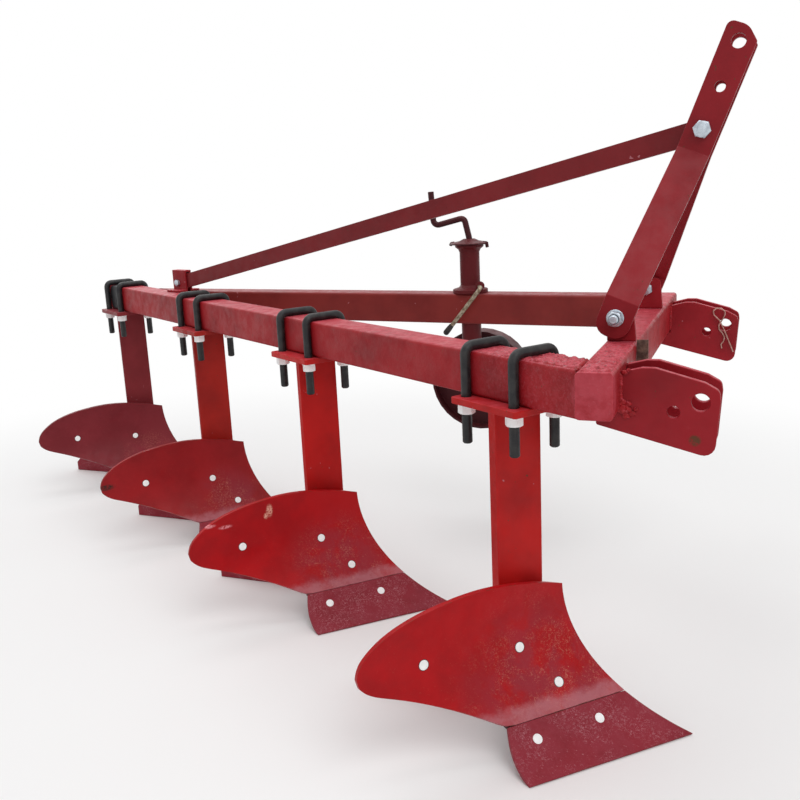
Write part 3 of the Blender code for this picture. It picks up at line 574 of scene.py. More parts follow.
def paint(name, base, scuff, top_highlight, wear_and_highlight_colour, deep, marks):
    """Brushed-on machine paint: blotchy, painted lighter towards the sky as a painted highlight, chipped
    along its edges.
    """
    look = Nodes(name, base)
    look.coat(look.pattern("blotch"), deep)
    # painted highlight: faces towards the sky take the lighter colour
    look.coat(look.both(look.upward(), look.maths("ADD", look.pattern("top_highlight"), top_highlight)), wear_and_highlight_colour)
    look.coat(look.both(look.pattern("scuff"), scuff), wear_and_highlight_colour)
    look.coat(look.both(look.edges(EDGE_REACH), look.pattern("edge")), wear_and_highlight_colour)
    look.coat(look.pattern("flake"), PINK_PALE)
    # rust specks, and at the marks the painted shade of a hole, both laid in the rust colour
    worn = look.pattern("speck")
    for spot in marks:
        worn = look.maths("MAXIMUM", worn, look.both(look.near(*spot), look.pattern("torn")))
    look.coat(worn, RUST)
    look.finish(look.maths("ADD", look.pattern("rough"), look.both(worn, 0.25)), gloss=0.20)
    relief = look.maths("ADD", look.grain("brushed"), look.grain("lumpy"))
    look.bump(look.maths("SUBTRACT", relief, look.both(worn, 0.30)), strength=0.30, distance=0.0014)
    return look.material


def hammered_paint(name, base, black_spot):
    """Beam paint: tops painted lighter as a painted highlight; rough at the welded front corner, with
    painted highlights on its lumps and painted shade in its hollows; black at the rear clamp.
    """
    look = Nodes(name, base)
    look.coat(look.pattern("beam_blotch"), RED_DEEP)
    top = look.upward()
    # painted highlight: the beams' tops laid lighter pink
    look.coat(look.both(top, look.maths("ADD", look.pattern("beam_top_highlight"), 0.30)), PINK)
    rough_top = look.both(look.near(JOIN, *JOIN_REACH), look.maths("ADD", look.both(top, 0.85), 0.15))
    # one noise raises the crust's bump and paints it: painted highlights on the lumps, painted shade in the
    # hollows
    crust_lumps = look.noise(120, 4, 0.62, warp=0.6)
    look.coat(look.both(rough_top, look.band(crust_lumps, 0.44, 0.60, end=0.85)), PINK)
    look.coat(look.both(rough_top, look.band(crust_lumps, 0.42, 0.33, end=0.60)), RED_DEEP)
    # painted highlight on the crests near the joint
    look.coat(look.both(rough_top, look.pattern("beam_crest_highlight")), PINK_PALE)
    look.coat(look.both(look.edges(BEAM_EDGE_REACH), look.pattern("beam_edge")), PINK)
    look.coat(look.pattern("beam_speck"), RUST)
    look.coat(look.both(look.near(END_SPOT, *END_REACH), look.pattern("beam_end")), PINK)
    look.coat(look.near(black_spot, *BLACK_REACH), BLACK)
    look.finish(look.pattern("beam_rough"), gloss=0.22)
    relief = look.maths("ADD", look.grain("beam"), look.both(look.both(crust_lumps, rough_top), 0.90))
    look.bump(relief, strength=0.7, distance=0.0080)
    return look.material


def soil_paint(name, base, speck_colour, spot, reach, seam=False, marks=()):
    """Paint on a soil-working piece: rubbed and speckled around a spot, scratched, scarred in places."""
    look = Nodes(name, base)
    look.coat(look.pattern("soil_blotch"), RED_DEEP)
    region = look.near(spot, *reach)
    cloud = look.both(region, look.pattern("soil_cloud"))
    look.coat(look.both(cloud, 0.72), RUBBED)
    speckle = look.both(look.pattern("soil_speck"), look.both(region, look.pattern("soil_patch")))
    look.coat(look.both(speckle, 0.66), speck_colour)
    scratch = look.noise(9, 8, 0.62, stretch=SCRATCH_LAY)
    streak = look.both(look.band(scratch, 0.62, 0.68), look.pattern("soil_run"))
    look.coat(look.both(streak, look.maths("MAXIMUM", region, 0.25)), speck_colour)
    if seam:
        ragged = look.maths("ADD", look.height_of(look.place), look.grain("ragged"))
        look.coat(look.both(look.band(ragged, *SEAM_BAND), look.pattern("soil_seam")), PINK_PALE)
    torn = look.pattern("soil_torn")
    for *place, colour in marks:
        look.coat(look.both(look.near(*place), torn), colour)
    look.coat(look.both(look.edges(SOIL_EDGE_REACH), look.pattern("soil_chip")), RUST)
    look.finish(look.maths("ADD", look.pattern("soil_rough"), look.both(cloud, 0.16)), gloss=0.16)
    relief = look.maths("ADD", look.grain("soil"), look.both(speckle, 0.35))
    look.bump(look.maths("SUBTRACT", relief, look.both(streak, 0.35)), strength=0.30, distance=0.0009)
    return look.material


def metal(name, base, dull, rough, metallic, grain, gloss):
    """Bare, plated or blackened metal with a mottled dull film, or a flat white that stands for a sky
    reflection, a painted reflection.
    """
    look = Nodes(name, base)
    look.coat(look.band(look.noise(grain, 6, 0.65), 0.38, 0.66), dull)
    look.finish(look.band(look.noise(grain * 0.6, 5, 0.6), 0.30, 0.70, *rough), gloss)
    look.set("Metallic", metallic)
    look.bump(look.noise(grain * 3, 4, 0.6), strength=0.25, distance=0.0006)
    return look.material


def weld_look(name):
    """Weld metal under a thick, uneven coat of paint."""
    look = Nodes(name, RED)
    look.coat(look.pattern("weld_blotch"), RED_DEEP)
    look.coat(look.pattern("weld_spatter"), PINK)
    look.finish(look.pattern("weld_rough"), gloss=0.22)
    look.bump(look.noise(260, 4, 0.6), strength=0.35, distance=0.0010)
    return look.material


def make_looks():
    """Makes each material once."""
    rear_clamp = bolts_middle("rear") + UP * (BEAM_TOP - BEAM_WIDE / 2)
    looks = {
        "beam": hammered_paint("beam_paint", RED, rear_clamp),
        "share": soil_paint("share_paint", RED_SHARE, PINK_PALE, (0, 0, 0), ALL_OVER),
        "weld": weld_look("weld_paint"),
    }
    for name, *values in PAINTS:
        looks[name] = paint(f"{name}_paint", *values, HOLE_SHADE_SPOTS.get(name, ()))
    for name, *values in METALS:
        looks[name] = metal(f"{name}_metal", *values)
    for body, _, base, rub in BODY_TABLE:
        spot = surface(*RUB_SPOT)[0] + body_place(body)
        looks[f"{body}_board"] = soil_paint(f"{body}_board_paint", base, DUST, spot, (RUB_CORE, rub),
                                            seam=True, marks=BOARD_MARKS.get(body, ()))
    return looks


def surface(along, rise):
    """Returns a point of the soil-turning surface in a body's frame, and the normal to the soil."""
    slope = math.acos(math.cos(EDGE_RAKE) - rise / GUIDE_RADIUS)
    setback = GUIDE_RADIUS * (math.sin(slope) - math.sin(EDGE_RAKE))
    angle = EDGE_ANGLE + TURN_PER_METRE * rise
    level = Vector((-math.cos(angle), -math.sin(angle), 0))
    shin = Vector((TIP_AHEAD - setback / math.sin(EDGE_ANGLE), LAND_LEFT, rise))
    climb = Vector((-1 / (math.tan(slope) * math.sin(EDGE_ANGLE)), 0, 1))
    climb += Vector((math.sin(angle), -math.cos(angle), 0)) * along * TURN_PER_METRE
    return shin + level * along, climb.cross(level).normalized()


def body_place(body):
    """Returns a body's origin on the ground, read from its landside."""
    low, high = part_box(f"{body}_landside")
    return Vector((low.x + LAND_BACK - TIP_AHEAD, high.y - LAND_LEFT, 0))


def bolts_middle(body):
    """Returns the point between a body's clamp bolts, at ground height."""
    boxes = [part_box(f"{body}_clamp_bolt_{which}") for which in ("front", "rear")]
    middle = sum((corner for pair in boxes for corner in pair), Vector()) / 4
    middle.z = 0
    return middle


def add_object(name, data):
    """Adds an object to the scene."""
    made = bpy.data.objects.new(name, data)
    bpy.context.scene.collection.objects.link(made)
    return made


def add_mesh(name, mesh_data, look, body=PLOUGH, smooth_angle=40):
    """Turns a bmesh into a shown piece that rides on a body."""
    bmesh.ops.recalc_face_normals(mesh_data, faces=mesh_data.faces)
    mesh = bpy.data.meshes.new(name)
    mesh_data.to_mesh(mesh)
    mesh_data.free()
    mesh.shade_smooth()
    mesh.set_sharp_from_angle(angle=math.radians(smooth_angle))
    mesh.materials.append(LOOKS[look])
    piece = add_object(name, mesh)
    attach(piece, body)
    return piece


def basis(direction):
    """Returns two unit vectors square to a direction."""
    direction = Vector(direction).normalized()
    helper = UP if abs(direction.z) < 0.9 else FORWARD
    side = helper.cross(direction).normalized()
    return side, direction.cross(side)


def ring(mesh_data, centre, side, over, radius_at, count, turn=0):
    """Adds one ring of vertices, its radius given for each angle."""
    verts = []
    for index in range(count):
        angle = 2 * math.pi * index / count
        radius = radius_at(angle)
        spot = centre + side * (radius * math.cos(angle + turn)) + over * (radius * math.sin(angle + turn))
        verts.append(mesh_data.verts.new(spot))
    return verts


def bridge(mesh_data, first, second):
    """Joins two rings with a band of faces."""
    count = len(first)
    for index in range(count):
        after = (index + 1) % count
        mesh_data.faces.new((first[index], first[after], second[after], second[index]))


def stack(mesh_data, spot, direction, levels, count=24, turn=0, closed=True):
    """Adds rings along a direction from (height, radius) levels; a radius may be a function of the angle."""
    side, over = basis(direction)
    rings = []
    for height, radius in levels:
        radius_at = radius if callable(radius) else (lambda angle, fixed=radius: fixed)
        rings.append(ring(mesh_data, spot + direction * height, side, over, radius_at, count, turn))
    for first, second in zip(rings, rings[1:]):
        bridge(mesh_data, first, second)
    if closed:
        mesh_data.faces.new(rings[0])
        mesh_data.faces.new(rings[-1])
    else:
        bridge(mesh_data, rings[-1], rings[0])
    return rings


def hexagon(across, limit):
    """Returns the radius of a hexagon at each angle, its corners cut to a round limit."""
    def radius_at(angle):
        local = (angle + math.pi / 6) % (math.pi / 3) - math.pi / 6
        return min(across / 2 / math.cos(local), limit)
    return radius_at


def add_nut(mesh_data, spot, direction, size, hole=None, turn=0):
    """Adds a chamfered hexagon, as a nut with a hole or as a bolt's head."""
    across, high = size
    flat = across / 2 * CHAMFER_FLAT
    corner = across / math.sqrt(3)
    deep = (corner - flat) * CHAMFER_SLOPE
    chamfer = []
    for share in CHAMFER_SHARES:
        chamfer.append((deep * (1 - share), hexagon(across, corner + (flat - corner) * share)))
    levels = [(high - rise, radius_at) for rise, radius_at in chamfer]
    if hole:
        mouth = across * NUT_MOUTH
        levels = chamfer[::-1] + levels + [(high, hole + mouth), (high - mouth, hole), (0, hole)]
    else:
        levels = [(0, hexagon(across, corner))] + levels
    stack(mesh_data, spot, direction, levels, count=48, turn=turn, closed=not hole)


def add_washer(mesh_data, spot, direction, size, hole):
    """Adds a flat washer with eased rims."""
    outer, high = size
    ease = high * RIM_EASE
    rim = [(0, outer - ease), (ease, outer), (high - ease, outer), (high, outer - ease)]
    stack(mesh_data, spot, direction, rim + [(high, hole), (0, hole)], count=32, closed=False)


def add_thread(mesh_data, spot, direction, radius, length):
    """Adds a threaded stud end as a stack of fine ridges."""
    turns = max(1, int(length / THREAD_PITCH))
    pitch = length / turns
    levels = [(0, radius)]
    for index in range(turns):
        levels.append((pitch * (index + THREAD_CREST), radius))
        levels.append((pitch * (index + THREAD_ROOT), radius - THREAD_DEEP))
    levels.append((length, radius - 2 * THREAD_DEEP))
    stack(mesh_data, spot, direction, levels, count=20)


def sweep(mesh_data, points, radii, count=12):
    """Adds a round bar along points, with its own radius at each."""
    tangent = (points[1] - points[0]).normalized()
    side = basis(tangent)[0]
    rings = []
    for index, (point, radius) in enumerate(zip(points, radii)):
        before = points[max(index - 1, 0)]
        after = points[min(index + 1, len(points) - 1)]
        direction = (after - before).normalized()
        side = tangent.rotation_difference(direction) @ side
        tangent = direction
        rings.append(ring(mesh_data, point, side, tangent.cross(side), lambda angle: radius, count))
    for first, second in zip(rings, rings[1:]):
        bridge(mesh_data, first, second)
    mesh_data.faces.new(rings[0])
    mesh_data.faces.new(rings[-1])


def bent(corners, bend, steps=8):
    """Returns a path through corners, rounded at each inner one."""
    points = [corners[0]]
    for before, corner, after in zip(corners, corners[1:], corners[2:]):
        first = (before - corner).normalized()
        second = (after - corner).normalized()
        half = first.angle(second) / 2
        centre = corner + (first + second).normalized() * (bend / math.sin(half))
        start = corner + first * (bend / math.tan(half)) - centre
        end = corner + second * (bend / math.tan(half)) - centre
        points += [centre + start.slerp(end, step / steps) * bend for step in range(steps + 1)]
    points.append(corners[-1])
    return points


def add_bar(mesh_data, points, radius, count=24):
    """Adds a round bar with eased ends."""
    ease = radius * RIM_EASE
    first = (points[1] - points[0]).normalized() * ease
    last = (points[-2] - points[-1]).normalized() * ease
    path = [points[0], points[0] + first] + points[1:-1] + [points[-1] + last, points[-1]]
    radii = [radius - ease] + [radius] * (len(path) - 2) + [radius - ease]
    sweep(mesh_data, path, radii, count)


def dense(corners, step):
    """Returns points along straight runs, about so far apart."""
    points = []
    for first, second in zip(corners, corners[1:]):
        count = max(1, int((second - first).length / step))
        points += [first.lerp(second, index / count) for index in range(count)]
    return points + [corners[-1]]


def add_weld(mesh_data, corners, radius, seed):
    """Adds a hand-laid weld bead: overlapping ripples that wander and swell a little."""
    points = []
    radii = []
    path = dense(corners, WELD_STEP)
    for index, point in enumerate(path):
        drift = Vector([noise.noise(Vector((index * WANDER_PACE, seed, lane))) for lane in WANDER_LANES])
        points.append(point + drift * radius * WANDER)
        ripple = RIPPLE_HIGH * math.cos(2 * math.pi * index / WELD_RIPPLE)
        swell = SWELL * noise.noise(Vector((index * SWELL_PACE, seed, SWELL_LANE)))
        end = min(1, WELD_START + WELD_GROWTH * min(index, len(path) - 1 - index))
        radii.append(radius * (1 + ripple + swell) * end)
    sweep(mesh_data, points, radii)


def add_lump(mesh_data, spot, size, seed):
    """Adds one uneven lump of spattered weld metal."""
    made = bmesh.ops.create_icosphere(mesh_data, subdivisions=3, radius=1)
    for vert in made["verts"]:
        swell = 1 + LUMP_SWELL * noise.noise(vert.co * LUMP_PACE + Vector((seed, 0, 0)))
        vert.co = spot + Vector([each * axis * swell for each, axis in zip(vert.co, size)])


def clean_copy(name):
    """Returns a bmesh of a CAD node with its points joined."""
    mesh_data = bmesh.new()
    mesh_data.from_mesh(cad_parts[name].data)
    bmesh.ops.remove_doubles(mesh_data, verts=mesh_data.verts, dist=JOIN_WITHIN)
    return mesh_data


def ease_edges(piece, width):
    """Rounds a piece's edges, and keeps its flat faces flat to the light."""
    rounding = piece.modifiers.new("ease", "BEVEL")
    rounding.width = width
    rounding.segments = 3
    rounding.limit_method = "ANGLE"
    rounding.angle_limit = EDGE_OVER
    normals = piece.modifiers.new("flats", "WEIGHTED_NORMAL")
    normals.keep_sharp = True


def flat_piece(name, look, body=PLOUGH):
    """Shows a flat or turned CAD node as a clean piece with rounded edges."""
    mesh_data = clean_copy(name)
    bmesh.ops.dissolve_limit(mesh_data, angle_limit=FLAT_WITHIN, verts=mesh_data.verts,
                             edges=mesh_data.edges)
    piece = add_mesh(f"{name}_shown", mesh_data, look, body, smooth_angle=30)
    ease_edges(piece, FLAT_EASE)
    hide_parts(name)


def curved_piece(name, look, ease=BOARD_EASE, levels=2):
    """Shows a curved CAD shell as a smooth piece with crisp rims."""
    mesh_data = clean_copy(name)
    bmesh.ops.recalc_face_normals(mesh_data, faces=mesh_data.faces)
    bmesh.ops.join_triangles(mesh_data, faces=mesh_data.faces, angle_face_threshold=QUAD_WITHIN,
                             angle_shape_threshold=math.pi)
    crease = mesh_data.edges.layers.float.new("crease_edge")
    for edge in mesh_data.edges:
        if len(edge.link_faces) == 2 and edge.calc_face_angle(0) > CREASE_OVER:
            edge[crease] = 1.0
    piece = add_mesh(f"{name}_shown", mesh_data, look, smooth_angle=35)
    smooth = piece.modifiers.new("smooth", "SUBSURF")
    smooth.levels = levels
    smooth.render_levels = levels
    ease_edges(piece, ease)
    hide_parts(name)


def board_bolts(body):
    """Adds the flat bolt heads in board and share, in flat white as a painted sky reflection, and their nuts
    behind.
    """
    heads = bmesh.new()
    rims = bmesh.new()
    nuts = bmesh.new()
    for index, (along, rise, backed) in enumerate(BOARD_BOLTS):
        spot, normal = surface(along, rise)
        spot += body_place(body)
        stack(heads, spot, normal, HEAD_PROFILE, count=40)
        # dark ring round each head, painted shade in the gap of its hole
        stack(rims, spot, normal, SHADE_RIM_PROFILE, count=40, closed=False)
        back = spot - normal * (SHEET + FINE_GAP + backed)
        add_nut(nuts, back, -normal, BOARD_NUT, turn=BODY_NUT_TURN * index)
        add_thread(nuts, back - normal * BOARD_NUT[1], -normal, BOARD_ROD, BOARD_THREAD)
    add_mesh(f"{body}_board_heads", heads, "white")
    add_mesh(f"{body}_board_shade_rims", rims, "stud")
    add_mesh(f"{body}_board_nuts", nuts, "zinc")


def clamp_path(low, high):
    """Returns the corners of a U-bolt over the beam, from the two corners of its box."""
    middle = (low + high) / 2
    corners = []
    for side, height in ((-1, low.z), (-1, high.z - CLAMP_ROD), (1, high.z - CLAMP_ROD), (1, low.z)):
        corner = middle + ACROSS * (CLAMP_SIDE * side)
        corner.z = height
        corners.append(corner)
    return corners


def clamp_bolts(body):
    """Builds a body's smooth U-bolts and adds their washers, nuts and threads."""
    plate_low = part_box(f"{body}_standard")[1].z - HEAD_THICK
    hole = CLAMP_ROD + FINE_GAP
    nuts = bmesh.new()
    studs = bmesh.new()
    for which, name in enumerate(("front", "rear")):
        node = f"{body}_clamp_bolt_{name}"
        corners = clamp_path(*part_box(node))
        bar = bmesh.new()
        add_bar(bar, bent(corners, CLAMP_BEND), CLAMP_ROD)
        piece = add_mesh(f"{node}_shown", bar, "black")
        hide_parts(node)
        for leg, corner in enumerate((corners[0], corners[-1])):
            turn = CLAMP_TURN * which + CLAMP_LEG_TURN * leg
            spot = Vector((corner.x, corner.y, plate_low - FINE_GAP))
            add_washer(nuts, spot, -UP, CLAMP_WASHER, hole)
            spot.z -= CLAMP_WASHER[1]
            add_nut(nuts, spot, -UP, CLAMP_NUT, hole, turn)
            spot.z -= CLAMP_NUT[1]
            add_thread(studs, spot, -UP, hole, spot.z - corner.z - CLAMP_ROD * RIM_EASE)
    # the clamp nuts in flat white, a painted sky reflection
    add_mesh(f"{body}_clamp_nuts", nuts, "white")
    add_mesh(f"{body}_clamp_threads", studs, "stud")


def head_weld(body, seed):
    """Adds the bead where a standard meets its clamp plate."""
    centre = bolts_middle(body) + ALONG * STEM_AHEAD
    centre.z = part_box(f"{body}_standard")[1].z - HEAD_THICK - FINE_GAP
    wide = Vector((math.cos(STEM_YAW), math.sin(STEM_YAW), 0)) * (STEM_WIDE / 2 + FINE_GAP)
    thick = Vector((-math.sin(STEM_YAW), math.cos(STEM_YAW), 0)) * (STEM_THICK / 2 + FINE_GAP)
    corners = []
    for ahead, aside in ((-1, -1), (1, -1), (1, 1), (-1, 1), (-1, -1)):
        corners.append(centre + wide * ahead + thick * aside)
    beads = bmesh.new()
    add_weld(beads, corners, HEAD_BEAD, seed)
    add_mesh(f"{body}_head_weld", beads, "weld")


def corner_of_main(x):
    """Returns where the main beam's right side meets a plane across the plough."""
    edge = bolts_middle("front") - ACROSS * (BEAM_WIDE / 2)
    return edge + ALONG * ((x - edge.x) / ALONG.x)


def plate_runs(low, high):
    """Returns the beads of the link plates on the cross beam, as (start, end, radius)."""
    runs = []
    for side in ("right", "left"):
        for which in ("right", "left"):
            plate_low, plate_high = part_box(f"{side}_link_plate_{which}")
            y = plate_low.y if which == "right" else plate_high.y
            foot, top = (low.z + PLATE_BEAD_ENDS[0], high.z - PLATE_BEAD_ENDS[1])
            back, front = (low.x + UNDER_BEAD_ENDS[0], high.x - UNDER_BEAD_ENDS[1])
            runs.append(((high.x, y, foot), (high.x, y, top), PLATE_BEAD))
            runs.append(((back, y, low.z), (front, y, low.z), UNDER_BEAD))
    return runs


def beam_runs(low, high):
    """Returns the beads of the main and left beams behind the cross beam, as (start, end, radius)."""
    runs = []
    main = corner_of_main(low.x)
    far = main + LEFT * (BEAM_WIDE / math.cos(MAIN_ANGLE))
    left_near = high.y - LEFT_BEAM_WIDE
    for start, end in ((main.y, far.y), (left_near, high.y - TOP_BEAD_END)):
        for height in (high.z - WELD_SUNK, low.z - WELD_SUNK):
            runs.append(((low.x, start, height), (low.x, end, height), TOP_BEAD))
    foot, top = (low.z + SIDE_BEAD_ENDS[0], high.z - SIDE_BEAD_ENDS[1])
    for y in (main.y, far.y, left_near):
        runs.append(((low.x, y, foot), (low.x, y, top), SIDE_BEAD))
    return runs


def frame_welds():
    """Adds the beads that join beams and link plates."""
    low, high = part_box("cross_beam")
    beads = bmesh.new()
    for seed, (start, end, radius) in enumerate(plate_runs(low, high) + beam_runs(low, high)):
        add_weld(beads, [Vector(start), Vector(end)], radius, seed)
    add_mesh("frame_welds", beads, "weld")


def crust_rise(spot, seed):
    """Returns how high the crust stands at a spot, as a share of its thickness."""
    place = spot + Vector((0, 0, seed))
    lump = COAT_MIDDLE
    for share, scale in (COAT_COARSE, COAT_FINE):
        lump += share * noise.noise(place * scale)
    return max(COAT_LEAST, lump)


def rough_coat(mesh_data, spot_at, length, wide, seed):
    """Adds a lumpy crust on a beam's top: thick at its near end, thin at the far one, its rim sunk."""
    across = int(wide / COAT_STEP)
    along = int(length / COAT_STEP)
    grid = []
    for row in range(along + 1):
        fade = min(1, COAT_FADE * (1 - row / along))
        line = []
        for column in range(across + 1):
            spot = spot_at(length * row / along, wide * column / across)
            inward = min(row, column, along - row, across - column)
            rise = COAT_THICK * fade * crust_rise(spot, seed) if inward > 1 else COAT_SUNK * (inward - 1)
            line.append(mesh_data.verts.new(spot + UP * rise))
        grid.append(line)
    for before, after in zip(grid, grid[1:]):
        for column in range(across):
            mesh_data.faces.new((before[column], before[column + 1], after[column + 1], after[column]))
    rim = grid[0] + [line[-1] for line in grid[1:-1]] + grid[-1][::-1] + [line[0] for line in grid[-2:0:-1]]
    mesh_data.faces.new(rim)


def front_coat():
    """Covers the tops of the cross beam and the main beam at their joint with a lumpy crust."""
    low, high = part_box("cross_beam")
    main = corner_of_main(low.x)

    def cross_spot(run, side):
        return Vector((high.x - COAT_INSET - side, low.y + COAT_END + run, high.z))

    def main_spot(run, side):
        start = Vector((low.x, main.y + (COAT_INSET + side) / math.cos(MAIN_ANGLE), high.z))
        return start - ALONG * run

    crust = bmesh.new()
    rough_coat(crust, cross_spot, CROSS_COAT, high.x - low.x - 2 * COAT_INSET, 1)
    rough_coat(crust, main_spot, MAIN_COAT, BEAM_WIDE - 2 * COAT_INSET, 2)
    add_mesh("front_crust", crust, "beam", smooth_angle=80)


def front_spatter():
    """Adds the lumps of weld at the cross beam's right end, by the link plate."""
    low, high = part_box("cross_beam")
    plate_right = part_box("right_link_plate_right")[0].y
    lumps = bmesh.new()
    for index, (ahead, rise, size) in enumerate(SPATTER):
        spot = Vector((high.x + ahead, plate_right - LUMP_OUT, low.z + rise))
        add_lump(lumps, spot, [size * share for share in LUMP_SHAPE], index)
    add_mesh("front_spatter", lumps, "weld")


def foot_bolt(mesh_data, out):
    """Adds the bolt that holds one of the mast's feet between its bar and its lug."""
    lean = Vector((math.sin(MAST_LEAN), 0, math.cos(MAST_LEAN)))
    foot = MAST_JOINT - lean * FOOT_BELOW
    hole = FRAME_ROD + FINE_GAP
    spot = foot + out * (FOOT_HALF + FINE_GAP)
    add_washer(mesh_data, spot, out, FRAME_WASHER, hole)
    spot = spot + out * FRAME_WASHER[1]
    add_nut(mesh_data, spot, out, FRAME_NUT, hole, FOOT_NUT_TURN)
    add_thread(mesh_data, spot + out * FRAME_NUT[1], out, FRAME_ROD, FOOT_THREAD)
    inside = FOOT_HALF - MAST_THICK - LUG_THICK - 3 * FINE_GAP
    add_nut(mesh_data, foot + out * inside, -out, FRAME_HEAD, turn=FOOT_HEAD_TURN)


def mast_bolt(mesh_data):
    """Adds the bolt through the mast and the brace, and the spacers between them."""
    hole = FRAME_ROD + FINE_GAP
    add_nut(mesh_data, MAST_JOINT + RIGHT * (MAST_HALF + FINE_GAP), RIGHT, MAST_HEAD, turn=MAST_HEAD_TURN)
    tail = MAST_JOINT + LEFT * (MAST_HALF + FINE_GAP)
    add_nut(mesh_data, tail, LEFT, FRAME_NUT, hole)
    add_thread(mesh_data, tail + LEFT * FRAME_NUT[1], LEFT, FRAME_ROD, SHORT_THREAD)
    spacer = (SPACER, MAST_HALF - MAST_THICK - BRACE_THICK / 2 - 2 * FINE_GAP)
    for out in (RIGHT, LEFT):
        add_washer(mesh_data, MAST_JOINT + out * (BRACE_THICK / 2 + FINE_GAP), out, spacer, hole)


def bracket_bolt(mesh_data):
    """Adds the bolt at the brace's rear end, its head to the right."""
    side = (MAST_JOINT - BRACE_REAR).cross(UP).normalized()
    wall = BRACKET_WALL + FINE_GAP
    add_nut(mesh_data, BRACE_REAR + side * wall, side, BRACKET_HEAD, turn=BRACKET_TURN)
    add_nut(mesh_data, BRACE_REAR - side * wall, -side, BRACKET_NUT, BRACKET_ROD + FINE_GAP)
    end = BRACE_REAR - side * (wall + BRACKET_NUT[1])
    add_thread(mesh_data, end, -side, BRACKET_ROD, SHORT_THREAD)


def mast_fasteners():
    """Adds the bolts of the mast's feet, its joint with the brace, and the brace's rear end."""
    zinc = bmesh.new()
    foot_bolt(zinc, RIGHT)
    foot_bolt(zinc, LEFT)
    mast_bolt(zinc)
    bracket_bolt(zinc)
    add_mesh("mast_fasteners", zinc, "zinc")


def spring_clip():
    """Adds the wire clip that hangs on the left link plate."""
    wire = bmesh.new()
    points = []
    for side, off in CLIP_SIDES:
        points += [LEFT_PIN + Vector((ahead, -off, rise)) * MILLIMETRE for ahead, rise in side]
    add_bar(wire, bent(points, CLIP_BEND, steps=3), CLIP_WIRE, count=10)
    add_mesh("spring_clip", wire, "wire", smooth_angle=80)


def beam_tab():
    """Adds the small rusty tab on the cross beam's front."""
    mesh_data = bmesh.new()
    made = bmesh.ops.create_cube(mesh_data, size=1)
    for vert in made["verts"]:
        share = Vector((vert.co.x + 0.5, vert.co.y, vert.co.z + 0.5))
        vert.co = TAB + Vector([each * length for each, length in zip(share, TAB_SIZE)])
    ease_edges(add_mesh("beam_tab", mesh_data, "tab"), TAB_EASE)


def lock_details():
    """Adds the lug that holds the locking rod, and the rod's dark grip."""
    lug = bmesh.new()
    stack(lug, LUG_SPOT, RIGHT, LUG_PROFILE, count=28)
    add_mesh("lock_lug", lug, "sleeve")
    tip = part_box("depth_lock")[0] + LOCK_TIP
    grip = bmesh.new()
    stack(grip, tip, (LOCK_KNEE - tip).normalized(), GRIP_PROFILE, count=20)
    add_mesh("lock_grip", grip, "stud")


def cap_ears():
    """Adds the drooping ears of the depth column's cap."""
    ears = bmesh.new()
    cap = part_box("depth_cap")[0].z - BEAM_TOP
    for points in EARS:
        path = [COLUMN + Vector((ahead, -EAR_RIGHT, cap + rise)) for ahead, rise in points]
        add_bar(ears, bent(path, EAR_BEND), EAR_ROD, count=16)
    add_mesh("cap_ears", ears, "dark")


def dress_frame():
    """Shows the frame, the mast and the depth column."""
    for look, slot, body, names in FLAT_NODES:
        for name in names:
            flat_piece(name, look, body)
    frame_welds()
    front_spatter()
    front_coat()
    mast_fasteners()
    spring_clip()
    beam_tab()
    lock_details()
    cap_ears()


def dress_bodies():
    """Shows the four bodies and what they carry."""
    for index, (body, stem, _, _) in enumerate(BODY_TABLE):
        flat_piece(f"{body}_standard", stem)
        flat_piece(f"{body}_landside", "share")
        curved_piece(f"{body}_mouldboard", f"{body}_board")
        curved_piece(f"{body}_share", "share", SHARE_EASE)
        curved_piece(f"{body}_frog", "dark", FROG_EASE, levels=1)
        board_bolts(body)
        clamp_bolts(body)
        head_weld(body, HEAD_SEED + index)


def camera():
    """Places the camera where the photograph was taken."""
    data = bpy.data.cameras.new("camera")
    data.sensor_fit = "HORIZONTAL"
    data.sensor_width = SENSOR
    data.lens = SENSOR * FOCAL_PIXELS / PHOTO_PIXELS
    place = Matrix.Translation(CAMERA_SPOT)
    for angle, axis in ((CAMERA_YAW, "Z"), (math.pi / 2 - CAMERA_PITCH, "X"), (CAMERA_ROLL, "Z")):
        place = place @ Matrix.Rotation(angle, 4, axis)
    made = add_object("camera", data)
    made.matrix_world = place
    bpy.context.scene.camera = made


def lamps():
    """Adds the soft studio lamps."""
    for name, spot, size, watts in LAMPS:
        data = bpy.data.lights.new(name, "AREA")
        data.shape = "SQUARE"
        data.size = size
        data.energy = watts
        made = add_object(name, data)
        made.location = spot
        made.rotation_euler = (LAMP_AIM - Vector(spot)).to_track_quat("-Z", "Y").to_euler()


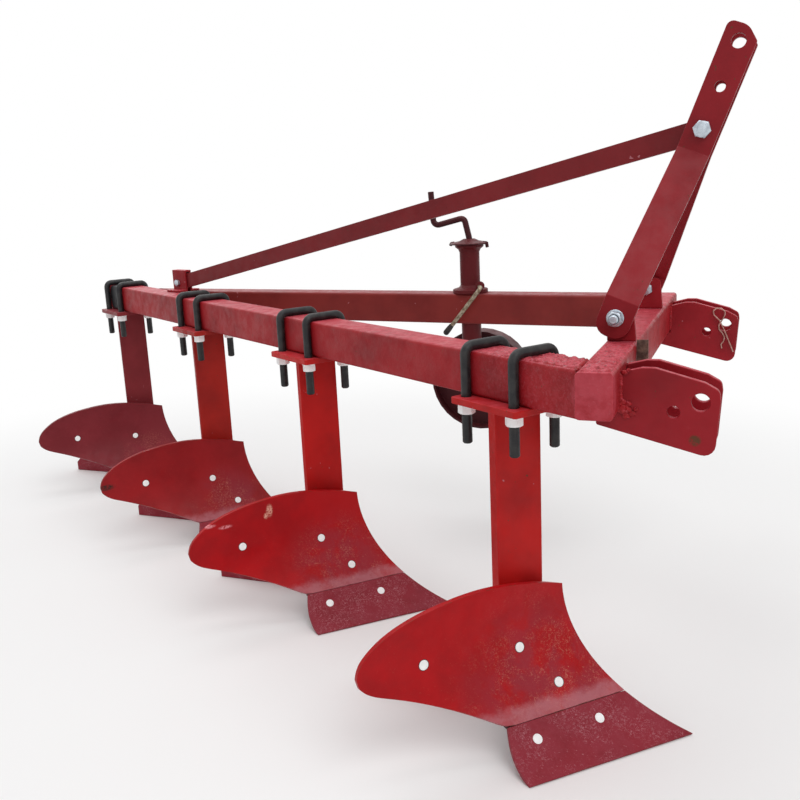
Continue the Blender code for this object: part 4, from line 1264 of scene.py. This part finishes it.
def seen_rays(tree):
    """Returns 1 for rays from the camera, a reflection or glass."""
    rays = add_node(tree, "LightPath").outputs
    total = rays["Is Camera Ray"]
    for name in ("Is Glossy Ray", "Is Transmission Ray"):
        node = add_node(tree, "Math")
        node.operation = "MAXIMUM"
        put(tree, total, node.inputs[0])
        put(tree, rays[name], node.inputs[1])
        total = node.outputs["Value"]
    return total


def white_to_camera(tree, shade, white, share, output):
    """Shows plain white to the camera by a share, and the true shade otherwise."""
    blend = add_node(tree, "MixShader", Fac=share)
    put(tree, shade, blend.inputs[1])
    put(tree, white, blend.inputs[2])
    put(tree, blend.outputs["Shader"], output)


def floor():
    """Builds the pale floor, which fades to white away from the plough."""
    mesh_data = bmesh.new()
    side, over = basis(UP)
    rim = ring(mesh_data, Vector(), side, over, lambda angle: FLOOR_RADIUS, FLOOR_SIDES)
    mesh_data.faces.new(rim)
    mesh = bpy.data.meshes.new("floor")
    mesh_data.to_mesh(mesh)
    mesh_data.free()
    made = add_object("floor", mesh)
    made.location.z = -FLOOR_DROP
    look = Nodes("floor_paper", PAPER)
    look.finish(rough=0.95, gloss=0.1)
    glow = look.node("Emission", Color=WHITE)
    near, far = FLOOR_FADE
    share = look.both(look.near((0, 0, 0), far, near), seen_rays(look.tree))
    output = look.tree.nodes["Material Output"].inputs["Surface"]
    white_to_camera(look.tree, look.shader.outputs["BSDF"], glow.outputs["Emission"], share, output)
    mesh.materials.append(look.material)


def sky():
    """Lights the scene evenly, and shows white behind it."""
    world = bpy.data.worlds.new("world")
    world.use_nodes = True
    bpy.context.scene.world = world
    tree = world.node_tree
    light = tree.nodes["Background"]
    put(tree, WHITE, light.inputs["Color"])
    put(tree, SKY_STRENGTH, light.inputs["Strength"])
    white = add_node(tree, "Background", Color=WHITE, Strength=1)
    output = tree.nodes["World Output"].inputs["Surface"]
    white_to_camera(tree, light.outputs["Background"], white.outputs["Background"], seen_rays(tree), output)


LOOKS = make_looks()


def main():
    """Builds the whole scene."""
    camera()
    floor()
    sky()
    lamps()
    bpy.context.scene.view_settings.view_transform = "Standard"
    dress_frame()
    dress_bodies()


main()
